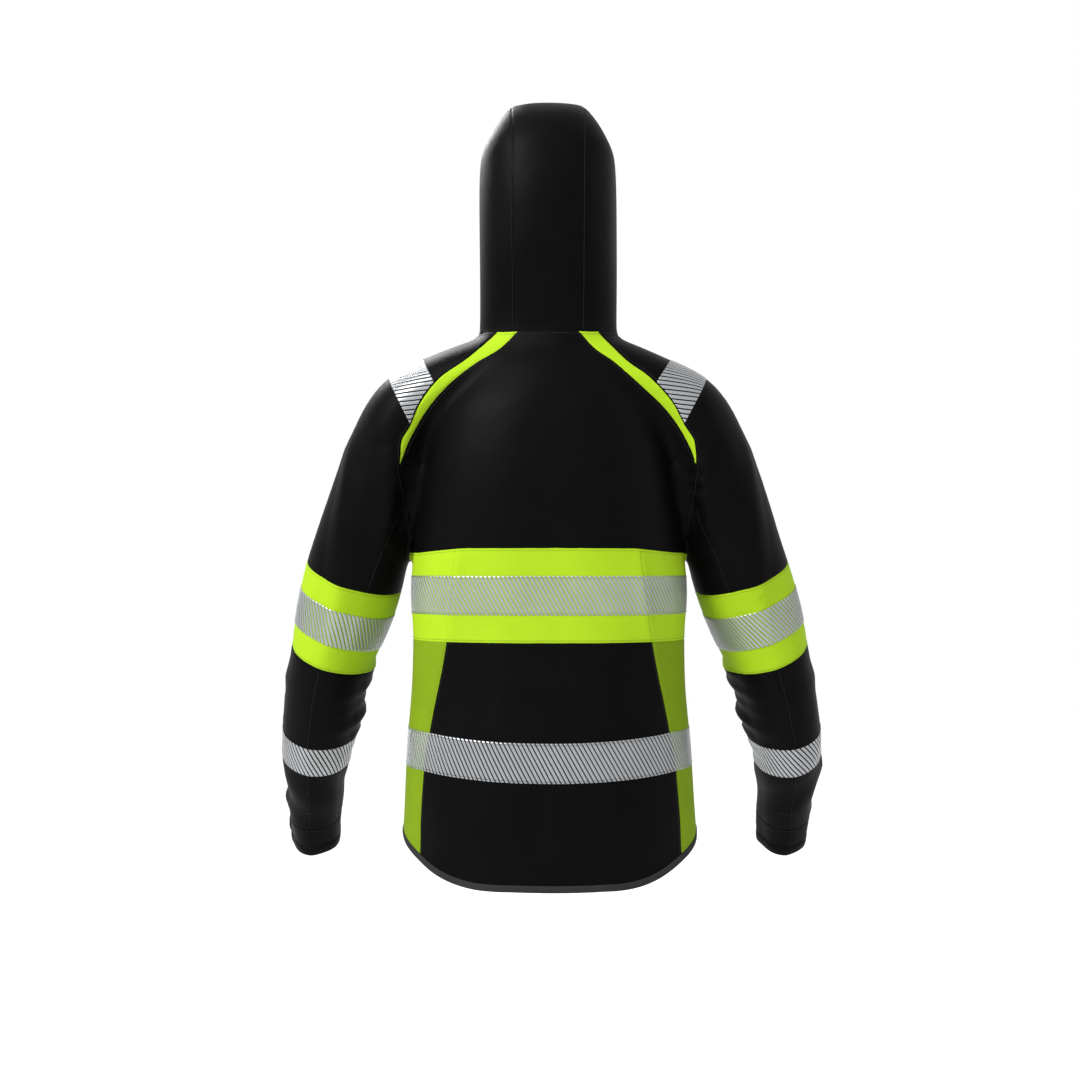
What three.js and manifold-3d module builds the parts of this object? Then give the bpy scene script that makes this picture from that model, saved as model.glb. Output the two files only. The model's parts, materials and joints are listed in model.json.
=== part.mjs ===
// Hooded high-visibility work coat in its worn shape: sewn panels, reflective tapes, zips and tabs.
// Frame in mm: +Z up, +X the wearer's left, the front faces -Y. The origin lies on the centre
// plane at the height of the neck seam, over the middle of the chest's depth.
import * as THREE from "three";
import { mergeVertices } from "three/addons/utils/BufferGeometryUtils.js";
import Module from "manifold-3d";

const wasm = await Module();
wasm.setup();

// ---- Driving sizes ----
const BACK_LENGTH = 714; // neck seam to the edge of the dropped tail
const CHEST_WIDTH = 380; // across the body below the arms
const CHEST_DEPTH = 256; // front to back at the chest
const HOOD_HEIGHT = 319; // neck seam to the crown
const SLEEVE_WIDTH = 132; // across the upper sleeve
const SHELL = 3; // bonded fabric with its facing and seams
const SEAM = 0.35; // gap left between neighbouring pieces
const TAPE_HEIGHT = 50;
const TAPE_THICK = 1;
const BAND_HEIGHT = 120; // coloured band that carries a tape in its middle
const FOREARM_TAPE = 45;
const BINDING_HEIGHT = 8;
const ZIP_SLOT = 10.4; // distance between the panel edges beside the main zip
const CHAIN_WIDTH = 6;
const CHAIN_THICK = 4;
const PULL_LENGTH = 34;
const POCKET_ZIP = 112; // fits between the chest band and the lower tape
const POCKET_SLOT = 9;
const CUFF_HEIGHT = 44;
const TAB_HEIGHT = 26;
const LOOP_SPAN = 54;
const LOOP_RISE = 18;
const BRIDGE_RISE = 4.2; // of a slider's bridge over its plate
const LOOP_GAP = 0.4; // between the loop's ends and the neck that they are sewn to

// ---- The pattern, drafted at the base size and graded to the driving sizes ----
const BASE = { length: 714, half: 190, depth: 256, hood: 319, sleeve: 132 };
const lengthRatio = BACK_LENGTH / BASE.length;
const widthRatio = CHEST_WIDTH / 2 / BASE.half;
const depthRatio = CHEST_DEPTH / BASE.depth;
const hoodRatio = HOOD_HEIGHT / BASE.hood;
const sleeveRatio = SLEEVE_WIDTH / BASE.sleeve;
const gradeX = (x) =>
  Math.sign(x) * (Math.min(Math.abs(x), BASE.half) * widthRatio + Math.max(Math.abs(x) - BASE.half, 0));
const gradeY = (y) => y * depthRatio;
const gradeZ = (z) => z * (z < 0 ? lengthRatio : hoodRatio);

// Body and hood sections: height, half width, back depth, front depth (hood only), front power, back power.
const SECTIONS = [
  [-760, 205, 136, 0, 2.4, 2.4],
  [-660, 197, 136, 0, 2.4, 2.4],
  [-550, 191, 132, 0, 2.4, 2.4],
  [-454, 184, 124, 0, 2.4, 2.4],
  [-400, 183, 122, 0, 2.4, 2.4],
  [-346, 187.5, 124, 0, 2.4, 2.4],
  [-300, 185, 127, 0, 2.4, 2.4],
  [-267, 181, 129, 0, 2.4, 2.4],
  [-200, 173, 131, 0, 2.4, 2.4],
  [-110, 160, 122, 0, 2.4, 2.4],
  [-50, 125, 100, 0, 2.4, 2.4],
  [0, 94, 78, 0, 2.6, 2.4],
  [120, 93.5, 112, 124, 4, 2.6],
  [180, 93.5, 118, 128, 4, 2.6],
  [235, 92, 112, 130, 4, 2.6],
  [270, 78, 98, 130, 4, 2.6],
  [300, 61, 70, 128, 3.6, 2.6],
  [319, 44, 15, 124, 3, 2.6],
];
const BODY_SIDES = 24;
const CROWN_START = 235; // above this height the hood closes towards its crown

// Sleeve stations along the arm: centre x, y, z, half width, half depth.
const ARM = [
  [60, 0, -28, 40, 80],
  [130, 0, -60, 46, 84],
  [185, 0, -100, 55, 86],
  [210, -4, -150, 58, 86],
  [222, -8, -200, 65, 84],
  [247, -20, -267, 63, 78],
  [268, -34, -334, 66, 70],
  [304, -58, -435, 59, 62],
  [322, -80, -500, 55.5, 58],
  [335, -108, -568, 52, 54],
  [340, -140, -636, 44, 46],
  [344, -182, -735, 38, 39],
];
const ARM_SIDES = 16;
const SHOULDER_STATIONS = 3; // the stations before this one run inside the shoulder

// Raglan seams seen from behind, neck to underarm: the strip's edge on the sleeve and on the yoke.
const RAGLAN_OUTER = [[68, 0], [106, -36], [139.5, -61], [166, -96], [178, -123], [190.5, -147], [192, -175]];
const RAGLAN_INNER = [
  [40.5, 0], [65, -24], [94, -42], [127, -69], [155, -100], [172, -127], [184, -151], [191, -174],
];
const UNDERARM = [[186, -215], [181, -254]];
const PRINCESS = [[-283, 117], [-397, 131], [-513, 155], [-572, 164], [-676, 170], [-780, 172]];
const HOOD_SEAM = [[120, 45], [235, 46], [330, 50]];
const CHEST_BAND = -343; // height of its middle line
const LOWER_TAPE = -554;
const LOWER_TAPE_RISE = 9; // the tape's ends stand this much higher than its middle
const SIDE_HEM = -662;
const SHOULDER_TAPE = { across: [0.92, 0, -0.39], from: 162, to: 214 };
const SLEEVE_HEAD_END = -232; // heights on the arm's centre line
const SLEEVE_BAND = -375;
const ELBOW_END = -520;
const FOREARM_TAPE_AT = -556;
const CUFF_END = -706;
const HOOD_FOLD = 150; // the hood's lower section ends here
const FACE_EDGE = [[-117, 16], [-106, 40], [-110, 150], [-116, 285]]; // y, z of the face opening's edge
const FACE_BINDING = 12;
const COLLAR_TOP = 15;
const REACH = 420; // further than any part of the coat from the centre plane

// ---- Surfaces and solids ----
const clamp01 = (t) => Math.min(Math.max(t, 0), 1);
const vec = (x, y, z) => new THREE.Vector3(x, y, z);

// The front is one straight line from collar to hem, so that the main zip runs true.
const frontLine = (z) => gradeY(-112.7) + 0.0448 * z;

function solid(geometry) {
  geometry.deleteAttribute("normal");
  geometry.deleteAttribute("uv");
  const merged = mergeVertices(geometry, 1e-4);
  const made = new wasm.Mesh({
    numProp: 3,
    vertProperties: new Float32Array(merged.attributes.position.array),
    triVerts: new Uint32Array(merged.index.array),
  });
  return new wasm.Manifold(made);
}

function join(solids) {
  return solids.reduce((all, one) => all.add(one));
}

// A cut can leave splinters beside a seam: the piece is the largest body.
function largest(whole) {
  const bodies = whole.decompose();
  return bodies.reduce((best, one) => (one.volume() > best.volume() ? one : best));
}

// A closed solid through rings of points, with flat ends.
function loft(rings) {
  const around = rings[0].length;
  const middle = (ring) => ring.reduce((sum, p) => sum.add(p), vec(0, 0, 0)).divideScalar(around);
  const points = [...rings.flat(), middle(rings[0]), middle(rings.at(-1))];
  const first = points.length - 2;
  const lastRing = (rings.length - 1) * around;
  const faces = [];
  for (let i = 0; i < around; i++) {
    const j = (i + 1) % around;
    faces.push(first, j, i);
    faces.push(first + 1, lastRing + i, lastRing + j);
    for (let r = 0; r < lastRing; r += around) {
      faces.push(r + i, r + j, r + around + j);
      faces.push(r + i, r + around + j, r + around + i);
    }
  }
  const geometry = new THREE.BufferGeometry().setFromPoints(points);
  geometry.setIndex(faces);
  return solid(geometry);
}

// One section of body or hood, grown outwards by a distance.
function bodyRing([z, half, back, front, frontPower, backPower], grow) {
  const height = gradeZ(z) + grow * clamp01((z - CROWN_START) / (BASE.hood - CROWN_START));
  const depthBehind = gradeY(back) + grow;
  const depthBefore = (front ? gradeY(front) : -frontLine(height)) + grow;
  const ring = [];
  for (let i = 0; i < BODY_SIDES; i++) {
    const turn = (2 * Math.PI * i) / BODY_SIDES;
    const [c, s] = [Math.cos(turn), Math.sin(turn)];
    const power = 2 / (s < -1e-9 ? frontPower : backPower);
    const x = Math.sign(c) * (gradeX(half) + grow) * Math.abs(c) ** power;
    const y = Math.sign(s) * (s < 0 ? depthBefore : depthBehind) * Math.abs(s) ** power;
    ring.push(vec(Math.abs(c) < 1e-9 ? 0 : x, Math.abs(s) < 1e-9 ? 0 : y, height));
  }
  return ring;
}

const body = (grow) => loft(SECTIONS.map((section) => bodyRing(section, grow)));

// The arm's centre line, graded. A wider sleeve stands further out, clear of the body.
const armCentres = ARM.map(([x, y, z, half], k) => {
  const room = k < SHOULDER_STATIONS ? 0 : (sleeveRatio - 1) * half;
  return vec(gradeX(x) + room, gradeY(y), gradeZ(z));
});

// Point, direction and side vector of the arm's centre line at one of its graded heights.
function armAt(height) {
  const z = gradeZ(height);
  let k = armCentres.findIndex((p) => p.z <= z);
  k = k < 1 ? armCentres.length - 1 : k;
  const [a, b] = [armCentres[k - 1], armCentres[k]];
  const point = a.clone().lerp(b, (z - a.z) / (b.z - a.z));
  return { point, along: b.clone().sub(a).normalize() };
}

function armRing(k, grow) {
  const before = armCentres[Math.max(k - 1, 0)];
  const after = armCentres[Math.min(k + 1, ARM.length - 1)];
  const along = after.clone().sub(before).normalize();
  const side = vec(-along.z, 0, along.x).normalize();
  const ahead = along.clone().cross(side);
  const ring = [];
  for (let i = 0; i < ARM_SIDES; i++) {
    const turn = (2 * Math.PI * i) / ARM_SIDES;
    const across = Math.cos(turn) * (ARM[k][3] * sleeveRatio + grow);
    const forward = Math.sin(turn) * (ARM[k][4] * sleeveRatio + grow);
    ring.push(armCentres[k].clone().addScaledVector(side, across).addScaledVector(ahead, forward));
  }
  return ring;
}

const arm = (grow) => loft(ARM.map((_, k) => armRing(k, grow)));

// ---- Regions that cut a skin into panels ----
function box([x0, y0, z0], [x1, y1, z1]) {
  const geometry = new THREE.BoxGeometry(x1 - x0, y1 - y0, z1 - z0);
  return solid(geometry.translate((x0 + x1) / 2, (y0 + y1) / 2, (z0 + z1) / 2));
}

const heights = (z0, z1) => box([-REACH, -REACH, z0], [REACH, REACH, z1]);
const behind = (y = SEAM / 2) => box([-REACH, y, -900], [REACH, REACH, 500]);
const before = (y = -SEAM / 2) => box([-REACH, -REACH, -900], [REACH, y, 500]);

// An outline in x and z, extruded from y0 to y1.
function prismXZ(outline, y0 = -REACH, y1 = REACH) {
  const shape = new THREE.Shape(outline.map(([x, z]) => new THREE.Vector2(x, z)));
  const geometry = new THREE.ExtrudeGeometry(shape, { depth: y1 - y0, bevelEnabled: false });
  return solid(geometry.rotateX(Math.PI / 2).translate(0, y1, 0));
}

// An outline in y and z, extruded right across the coat.
function prismYZ(outline) {
  const shape = new THREE.Shape(outline.map(([y, z]) => new THREE.Vector2(y, z)));
  const geometry = new THREE.ExtrudeGeometry(shape, { depth: 2 * REACH, bevelEnabled: false });
  return solid(geometry.rotateX(Math.PI / 2).rotateZ(Math.PI / 2).translate(-REACH, 0, 0));
}

// The space between two curves of height over x.
function between(low, high, y0 = -REACH, y1 = REACH) {
  const xs = Array.from({ length: 17 }, (_, i) => gradeX(-216 + 27 * i));
  return prismXZ([...xs.map((x) => [x, low(x)]), ...xs.reverse().map((x) => [x, high(x)])], y0, y1);
}

// Half of space beyond a point, in a direction.
function beyond(point, direction) {
  const geometry = new THREE.BoxGeometry(2 * REACH, 2 * REACH, 2 * REACH);
  geometry.translate(0, 0, REACH);
  geometry.applyQuaternion(new THREE.Quaternion().setFromUnitVectors(vec(0, 0, 1), direction));
  return solid(geometry.translate(point.x, point.y, point.z));
}

// The slice of an arm between two distances along its direction, from a height on its centre line.
function armSlice(height, from, to) {
  const { point, along } = armAt(height);
  const start = point.clone().addScaledVector(along, from);
  const end = point.clone().addScaledVector(along, to);
  return beyond(start, along).intersect(beyond(end, along.clone().negate()));
}

const gradedXZ = (line) => line.map(([x, z]) => [gradeX(x), gradeZ(z)]);
const shifted = (line, dx) => line.map(([x, z]) => [x + dx, z]);

// ---- Shells ----
const body0 = body(0);
const arm0 = arm(0);
const bodySkin = body0.subtract(body(-SHELL));
const armSkin = arm0.subtract(arm(-SHELL));
const coatSkin = body0.add(arm0).subtract(body(-SHELL).add(arm(-SHELL)));
const coverSkin = body(SEAM + TAPE_THICK).add(arm(SEAM + TAPE_THICK)).subtract(body(SEAM).add(arm(SEAM)));
const bodyCover = body(SEAM + TAPE_THICK).subtract(body(SEAM));
const armCover = arm(SEAM + TAPE_THICK).subtract(arm(SEAM));

// Left side of the coat, raglan seam to the outside: everything that belongs to the sleeve.
const crotch = gradeZ(UNDERARM.at(-1)[1]);
const raglan = gradedXZ([...RAGLAN_OUTER, ...UNDERARM]);
const sleeveSpace = (dx) =>
  prismXZ([...shifted(raglan, dx), [raglan.at(-1)[0] + dx, crotch - 6], [REACH, crotch - 6], [REACH, 60],
    [raglan[0][0] + dx, 60]]);
const mirrored = (line) => line.map(([x, z]) => [-x, z]).reverse();
const sleeveSpaceRight = (dx) =>
  prismXZ(mirrored([...shifted(raglan, dx), [raglan.at(-1)[0] + dx, crotch - 6], [REACH, crotch - 6],
    [REACH, 60], [raglan[0][0] + dx, 60]]));

const upperBody = coatSkin
  .intersect(heights(crotch, -SEAM / 2))
  .subtract(sleeveSpace(-SEAM / 2))
  .subtract(box([-REACH, -REACH, -900], [0, REACH, 500]));
const lowerBody = bodySkin.intersect(heights(-900, crotch));
const upperSleeve = coatSkin.intersect(heights(crotch, -SEAM / 2)).intersect(sleeveSpace(SEAM / 2));
const lowerSleeve = armSkin.intersect(heights(-900, crotch)).subtract(body(0.5));
const sleeve = upperSleeve.add(lowerSleeve);

// ---- Main zip slot, hem and seams ----
const zipSlot = (half, z0, z1) => box([-half, -REACH, z0], [half, 0, z1]);
const mainSlot = zipSlot(ZIP_SLOT / 2, -900, 60);
const pastHalf = (x) => Math.max(Math.abs(x) / gradeX(1) - 75, 0) / 122;
const hemBack = (x) => gradeZ(-BASE.length + (BASE.length + SIDE_HEM) * Math.min(pastHalf(x), 1) ** 2.2);
const hemFront = (x) => gradeZ(SIDE_HEM + 7 - 7 * Math.min(Math.abs(x) / gradeX(197), 1) ** 2);
const underHem = (rise) =>
  between(() => -950, (x) => hemBack(x) + rise, -0.5, REACH)
    .add(between(() => -950, (x) => hemFront(x) + rise, -REACH, 0.5));

const princess = PRINCESS.map(([z, x]) => [gradeX(x), gradeZ(z)]);
princess[0][1] += 200;
const sideSpace = (dx) => prismXZ([...shifted(princess, dx), [REACH, gradeZ(-780)], [REACH, princess[0][1]]]);
const middleSpace = (dx) => prismXZ([...shifted(princess, dx), ...mirrored(shifted(princess, dx))]);

const bandTop = gradeZ(CHEST_BAND) + BAND_HEIGHT / 2;
const bandBottom = gradeZ(CHEST_BAND) - BAND_HEIGHT / 2;
const bandSlice = heights(bandBottom + SEAM / 2, bandTop - SEAM / 2);
const lowSlice = heights(-900, bandBottom - SEAM / 2).subtract(underHem(BINDING_HEIGHT + SEAM));
const side = sideSpace(SEAM / 2);
const middle = middleSpace(-SEAM / 2);
const leftHalf = box([0, -REACH, -900], [REACH, REACH, 500]);

// ---- Hood ----
const faceCut = (grow) => {
  const edge = FACE_EDGE.map(([y, z]) => [gradeY(y) + grow, z > 16 ? gradeZ(z) : COLLAR_TOP]);
  edge.at(-1)[1] += grow;
  return prismYZ([[-REACH, COLLAR_TOP], ...edge, [-REACH, edge.at(-1)[1] + 12]]);
};
const hoodSkin = bodySkin.intersect(heights(SEAM / 2, 500));
const hoodPanels = hoodSkin.subtract(faceCut(FACE_BINDING + SEAM));
const hoodMiddleOutline = HOOD_SEAM.map(([z, x]) => [gradeX(x), gradeZ(z)]);
const hoodMiddle = prismXZ([...hoodMiddleOutline, ...mirrored(hoodMiddleOutline)]);
const hoodMiddleOver = shifted(hoodMiddleOutline, SEAM);
const hoodMiddleWide = prismXZ([...hoodMiddleOver, ...mirrored(hoodMiddleOver)]);
const hoodUpper = hoodPanels.intersect(heights(gradeZ(HOOD_FOLD) + SEAM / 2, 500));

// ---- Zips: frames run along the chain, with y pointing out of the coat and z up the chain ----
// The y of the coat's wall at x and z, grown by a distance, on the sides of its ring from one to another.
function wallAt(x, z, grow, firstSide, lastSide) {
  const rings = SECTIONS.map((section) => bodyRing(section, grow));
  const k = rings.findIndex((ring) => ring[0].z > z);
  const t = (z - rings[k - 1][0].z) / (rings[k][0].z - rings[k - 1][0].z);
  const ring = rings[k].map((p, i) => rings[k - 1][i].clone().lerp(p, t));
  for (let i = firstSide; i < lastSide; i++) {
    const [a, b] = [ring[i], ring[(i + 1) % BODY_SIDES]];
    if ((a.x - x) * (b.x - x) <= 0) return a.y + ((x - a.x) / (b.x - a.x)) * (b.y - a.y);
  }
  return 0;
}

const frontWall = (x, z, grow) => wallAt(x, z, grow, BODY_SIDES / 2, BODY_SIDES);
const backWall = (x, z, grow) => wallAt(x, z, grow, 0, BODY_SIDES / 2);

function zipFrame(x, top, bottom) {
  const start = vec(x, frontWall(x, top, 0), top);
  const end = vec(x, frontWall(x, bottom, 0), bottom);
  const up = start.clone().sub(end).normalize();
  const step = 6;
  const middleZ = (top + bottom) / 2;
  const tangent = vec(2 * step, frontWall(x + step, middleZ, 0) - frontWall(x - step, middleZ, 0), 0);
  const out = tangent.cross(up).normalize();
  const across = out.clone().cross(up).normalize();
  const matrix = new THREE.Matrix4().makeBasis(across, out, up).setPosition(start);
  return { matrix, length: start.distanceTo(end) };
}

const placed = (geometry, matrix) => solid(geometry.applyMatrix4(matrix));
function bar(matrix, [x0, y0, z0], [x1, y1, z1]) {
  const geometry = new THREE.BoxGeometry(x1 - x0, y1 - y0, z1 - z0);
  return placed(geometry.translate((x0 + x1) / 2, (y0 + y1) / 2, (z0 + z1) / 2), matrix);
}

// Slider: a plate over the chain, a cheek down each side of it and a bridge for the pull.
// `size` scales its plan, `face` is the height of the chain's face over the coat and `foot` that
// of the cheeks' lower edges.
function zipSlider(matrix, size, face, foot) {
  const [half, length] = [CHAIN_WIDTH * 0.9 * size, 15 * size];
  const [low, high] = [face + 0.5, face + 2.5];
  const cheek = (CHAIN_WIDTH / 2 + 0.5) * size;
  const parts = [bar(matrix, [-half, low, -length], [half, high, 0])];
  for (const hand of [-1, 1]) {
    const edges = [hand * cheek, hand * (cheek + 1.1 * size)].sort((a, b) => a - b);
    parts.push(bar(matrix, [edges[0], foot, -length], [edges[1], low + 0.5, 0]));
  }
  const bridge = { half: 1.4, foot: 1.6, thick: 1.4, top: -1.5 * size, bottom: -11 * size };
  const bridgeBar = (y0, z0, z1) => bar(matrix, [-bridge.half, y0, z0], [bridge.half, high + BRIDGE_RISE, z1]);
  parts.push(bridgeBar(high - 0.5, bridge.top - bridge.foot, bridge.top));
  parts.push(bridgeBar(high - 0.5, bridge.bottom, bridge.bottom + bridge.foot));
  parts.push(bridgeBar(high + BRIDGE_RISE - bridge.thick, bridge.bottom, bridge.top));
  return join(parts);
}

// Pull: a crossbar under the bridge, two arms beside it and a grip that hangs below.
function zipPull(matrix, size, face, length) {
  const axis = face + 2.5 + BRIDGE_RISE / 3;
  const [top, half] = [-6.3 * size, 4.2 * size];
  const arms = bar(matrix, [-half, axis - 0.8, top - length], [half, axis + 0.8, top + 0.8]);
  const window = bar(matrix, [-2, axis - 3, top - 7 * size], [2, axis + 3, top - 0.8]);
  return arms.subtract(window);
}

const mainTop = COLLAR_TOP - 3;
const mainBottom = hemFront(0) + 4;
const mainZip = zipFrame(0, mainTop, mainBottom);
const chainBack = 0.2 - SHELL; // a little in front of the tape that carries the chain
const chainFace = chainBack + CHAIN_THICK;
const boxHeight = 12;
const chainFoot = -mainZip.length + boxHeight;
const zipBar = (half, z0, z1, proud) =>
  bar(mainZip.matrix, [-half, chainBack, z0], [half, chainFace + proud, z1]);
const mainChain = zipBar(CHAIN_WIDTH / 2, chainFoot + SEAM, 0, 0);
const mainBox = zipBar(4.4, -mainZip.length, chainFoot, 1);
const topStop = zipBar(CHAIN_WIDTH / 2, SEAM, 2.5, 0.8);
const mainTape = body(-SHELL - SEAM)
  .subtract(body(-SHELL - SEAM - 1))
  .intersect(zipSlot(14, mainBottom + BINDING_HEIGHT, COLLAR_TOP));

const pocketTop = gradeZ(CHEST_BAND) - BAND_HEIGHT / 2 - 6;
const pocketX = gradeX(112);
const pocketZip = zipFrame(pocketX, pocketTop, pocketTop - POCKET_ZIP);
const pocketSpan = (half, low, high, over) =>
  bar(pocketZip.matrix, [-half, low, -pocketZip.length - over], [half, high, over]);
const pocketCut = pocketSpan(POCKET_SLOT / 2, -30, 30, SEAM);
const pocketChain = pocketSpan(POCKET_SLOT / 2 - SEAM, -SHELL, 0.3, 0)
  .subtract(pocketSpan(POCKET_SLOT, -0.9, 2, 40))
  .add(pocketSpan(CHAIN_WIDTH * 0.35, -1.4, 0.3, 0));
const pocketBag = body(-SHELL - 0.6)
  .subtract(body(-SHELL - 3.6))
  .intersect(before(0))
  .intersect(prismXZ([
    [gradeX(40), pocketTop - 190], [gradeX(128), pocketTop - 172],
    [gradeX(122), pocketTop + 12], [gradeX(52), pocketTop - 10],
  ]));

// ---- Sleeve pieces ----
const bandAlong = armAt(SLEEVE_BAND);
function sleevePast(height, gap) {
  const { point, along } = armAt(height);
  return beyond(point.addScaledVector(along, gap), along);
}
function sleeveUpTo(height, gap) {
  const { point, along } = armAt(height);
  return beyond(point.addScaledVector(along, -gap), along.clone().negate());
}
const bandEdge = (shift) => bandAlong.point.clone().addScaledVector(bandAlong.along, shift);
const bandStart = BAND_HEIGHT / 2 + SEAM / 2;
const sleeveHead = sleeve.intersect(sleeveUpTo(SLEEVE_HEAD_END, SEAM / 2));
const upperSleevePiece = sleeve
  .intersect(sleevePast(SLEEVE_HEAD_END, SEAM / 2))
  .intersect(beyond(bandEdge(-bandStart), bandAlong.along.clone().negate()));
const bandHalf = BAND_HEIGHT / 2 - SEAM / 2;
const sleeveBand = armSkin.intersect(armSlice(SLEEVE_BAND, -bandHalf, bandHalf));
const elbow = armSkin
  .intersect(beyond(bandEdge(bandStart), bandAlong.along))
  .intersect(sleeveUpTo(ELBOW_END, SEAM / 2));
const cuffEnd = armAt(CUFF_END);
const cuffAt = (distance) => cuffEnd.point.clone().addScaledVector(cuffEnd.along, distance);
const cuffBack = cuffEnd.along.clone().negate();
const lowerSleevePiece = armSkin
  .intersect(sleevePast(ELBOW_END, SEAM / 2))
  .intersect(beyond(cuffAt(-CUFF_HEIGHT - SEAM / 2), cuffBack));
const cuff = armSkin
  .intersect(beyond(cuffAt(-CUFF_HEIGHT + SEAM / 2), cuffEnd.along))
  .intersect(beyond(cuffAt(0), cuffBack));

// Cuff tab: a strap over the outside of the cuff, sewn at its front end and free at the other.
const tabMiddle = cuffAt(-CUFF_HEIGHT / 2);
const tabWedge = (() => {
  const reach = 120;
  const shape = new THREE.Shape([[0, 0], [reach, -0.1 * reach], [reach, -reach], [-0.05 * reach, -reach]]
    .map(([x, y]) => new THREE.Vector2(x, y)));
  const geometry = new THREE.ExtrudeGeometry(shape, { depth: TAB_HEIGHT, bevelEnabled: false });
  geometry.translate(0, 0, -TAB_HEIGHT / 2);
  geometry.applyQuaternion(new THREE.Quaternion().setFromUnitVectors(vec(0, 0, 1), cuffBack));
  return solid(geometry.translate(tabMiddle.x, tabMiddle.y, tabMiddle.z));
})();
const cuffTab = arm(SEAM + 2.4).subtract(arm(SEAM)).intersect(tabWedge);

// ---- Shoulder tape over the sleeve head, and raglan strip on the back ----
const tapeAcross = vec(...SHOULDER_TAPE.across).normalize();
const tapeSpan = (SHOULDER_TAPE.to - SHOULDER_TAPE.from) / vec(...SHOULDER_TAPE.across).length();
const tapeMiddleX = (SHOULDER_TAPE.from + SHOULDER_TAPE.to) / 2 / SHOULDER_TAPE.across[0];
const tapeEdge = (shift) => vec(gradeX(tapeMiddleX), 0, 0).addScaledVector(tapeAcross, shift);
const shoulderTape = coverSkin
  .intersect(beyond(tapeEdge(-tapeSpan / 2), tapeAcross))
  .intersect(beyond(tapeEdge(tapeSpan / 2), tapeAcross.clone().negate()))
  .intersect(sleeveSpace(0.6))
  .intersect(heights(crotch, -SEAM));

const innerLine = gradedXZ(RAGLAN_INNER);
const outerLine = gradedXZ(RAGLAN_OUTER);
const stripOutline = [...shifted(innerLine, SEAM / 2), ...shifted(outerLine, -SEAM / 2).reverse()];
const stripTip = [outerLine.at(-1)[0], outerLine.at(-1)[1] - 4];
const stripWide = [...shifted(innerLine, -SEAM / 2), stripTip, ...shifted(outerLine, SEAM).reverse()];
const strip = coatSkin.intersect(heights(crotch, -SEAM / 2)).intersect(prismXZ(stripOutline, 0, REACH));

// ---- Yokes ----
const leftYoke = upperBody.add(lowerBody.intersect(leftHalf).intersect(heights(bandTop + SEAM / 2, crotch)));
const leftBackYoke = leftYoke.intersect(behind()).subtract(prismXZ(stripWide, 0, REACH));
const frontYoke = leftYoke.intersect(before()).subtract(mainSlot);

// Both halves of a piece that crosses the centre plane, from its left half.
function mirrorSolid(half) {
  const geometry = geometryOf(half);
  geometry.scale(-1, 1, 1);
  const index = geometry.index.array;
  for (let i = 0; i < index.length; i += 3) [index[i + 1], index[i + 2]] = [index[i + 2], index[i + 1]];
  return solid(geometry);
}

function geometryOf(whole) {
  const mesh = whole.getMesh();
  const geometry = new THREE.BufferGeometry();
  geometry.setAttribute("position", new THREE.BufferAttribute(new Float32Array(mesh.vertProperties), 3));
  geometry.setIndex(new THREE.BufferAttribute(new Uint32Array(mesh.triVerts), 1));
  return geometry;
}

const backYoke = leftBackYoke.add(mirrorSolid(leftBackYoke));

// ---- Tapes round the body, open at the main zip ----
const chestTape = bodyCover
  .intersect(heights(gradeZ(CHEST_BAND) - TAPE_HEIGHT / 2, gradeZ(CHEST_BAND) + TAPE_HEIGHT / 2))
  .subtract(zipSlot(ZIP_SLOT / 2 + 1, -900, 60));
const tapeRise = (x) => gradeZ(LOWER_TAPE) + LOWER_TAPE_RISE * Math.min(Math.abs(x) / gradeX(165), 1) ** 2;
const lowerTape = bodyCover
  .intersect(between((x) => tapeRise(x) - TAPE_HEIGHT / 2, (x) => tapeRise(x) + TAPE_HEIGHT / 2))
  .subtract(zipSlot(ZIP_SLOT / 2 + 1, -900, 60));
const hemBinding = body(0.5)
  .subtract(body(-SHELL - 0.4))
  .intersect(underHem(BINDING_HEIGHT))
  .subtract(underHem(0))
  .subtract(mainSlot);

// ---- Hanger loop: a ribbon standing against the inside of the back neck seam ----
const loopSide = LOOP_SPAN / 2;
const loopBack = backWall(loopSide, 0.1, -SHELL) - LOOP_GAP;
const hangerLoop = box([-loopSide, loopBack - 7, -6], [loopSide, loopBack, LOOP_RISE - 6])
  .subtract(box([-loopSide + 1.5, 0, -20], [loopSide - 1.5, REACH, LOOP_RISE - 7.5]));

// ---- The scene ----
const looks = {
  black: { color: 0x17181a, roughness: 0.85, metalness: 0 },
  yellow: { color: 0xc6f22e, roughness: 0.7, metalness: 0 },
  sideYellow: { color: 0xa6d926, roughness: 0.75, metalness: 0 },
  silver: { color: 0xc4c6c8, roughness: 0.35, metalness: 0.2 },
  binding: { color: 0x2b2c2e, roughness: 0.9, metalness: 0 },
  zip: { color: 0x1b1c1e, roughness: 0.5, metalness: 0 },
  metal: { color: 0x3a3b3d, roughness: 0.35, metalness: 0.9 },
};
const coat = new THREE.Group();

function put(name, look, whole, mirror = false) {
  const mesh = new THREE.Mesh(geometryOf(largest(whole)), new THREE.MeshStandardMaterial(looks[look]));
  mesh.name = name;
  if (mirror) mesh.scale.x = -1;
  coat.add(mesh);
}

function putPair(name, look, whole) {
  put(`${name}_left`, look, whole);
  put(`${name}_right`, look, whole, true);
}

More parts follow.
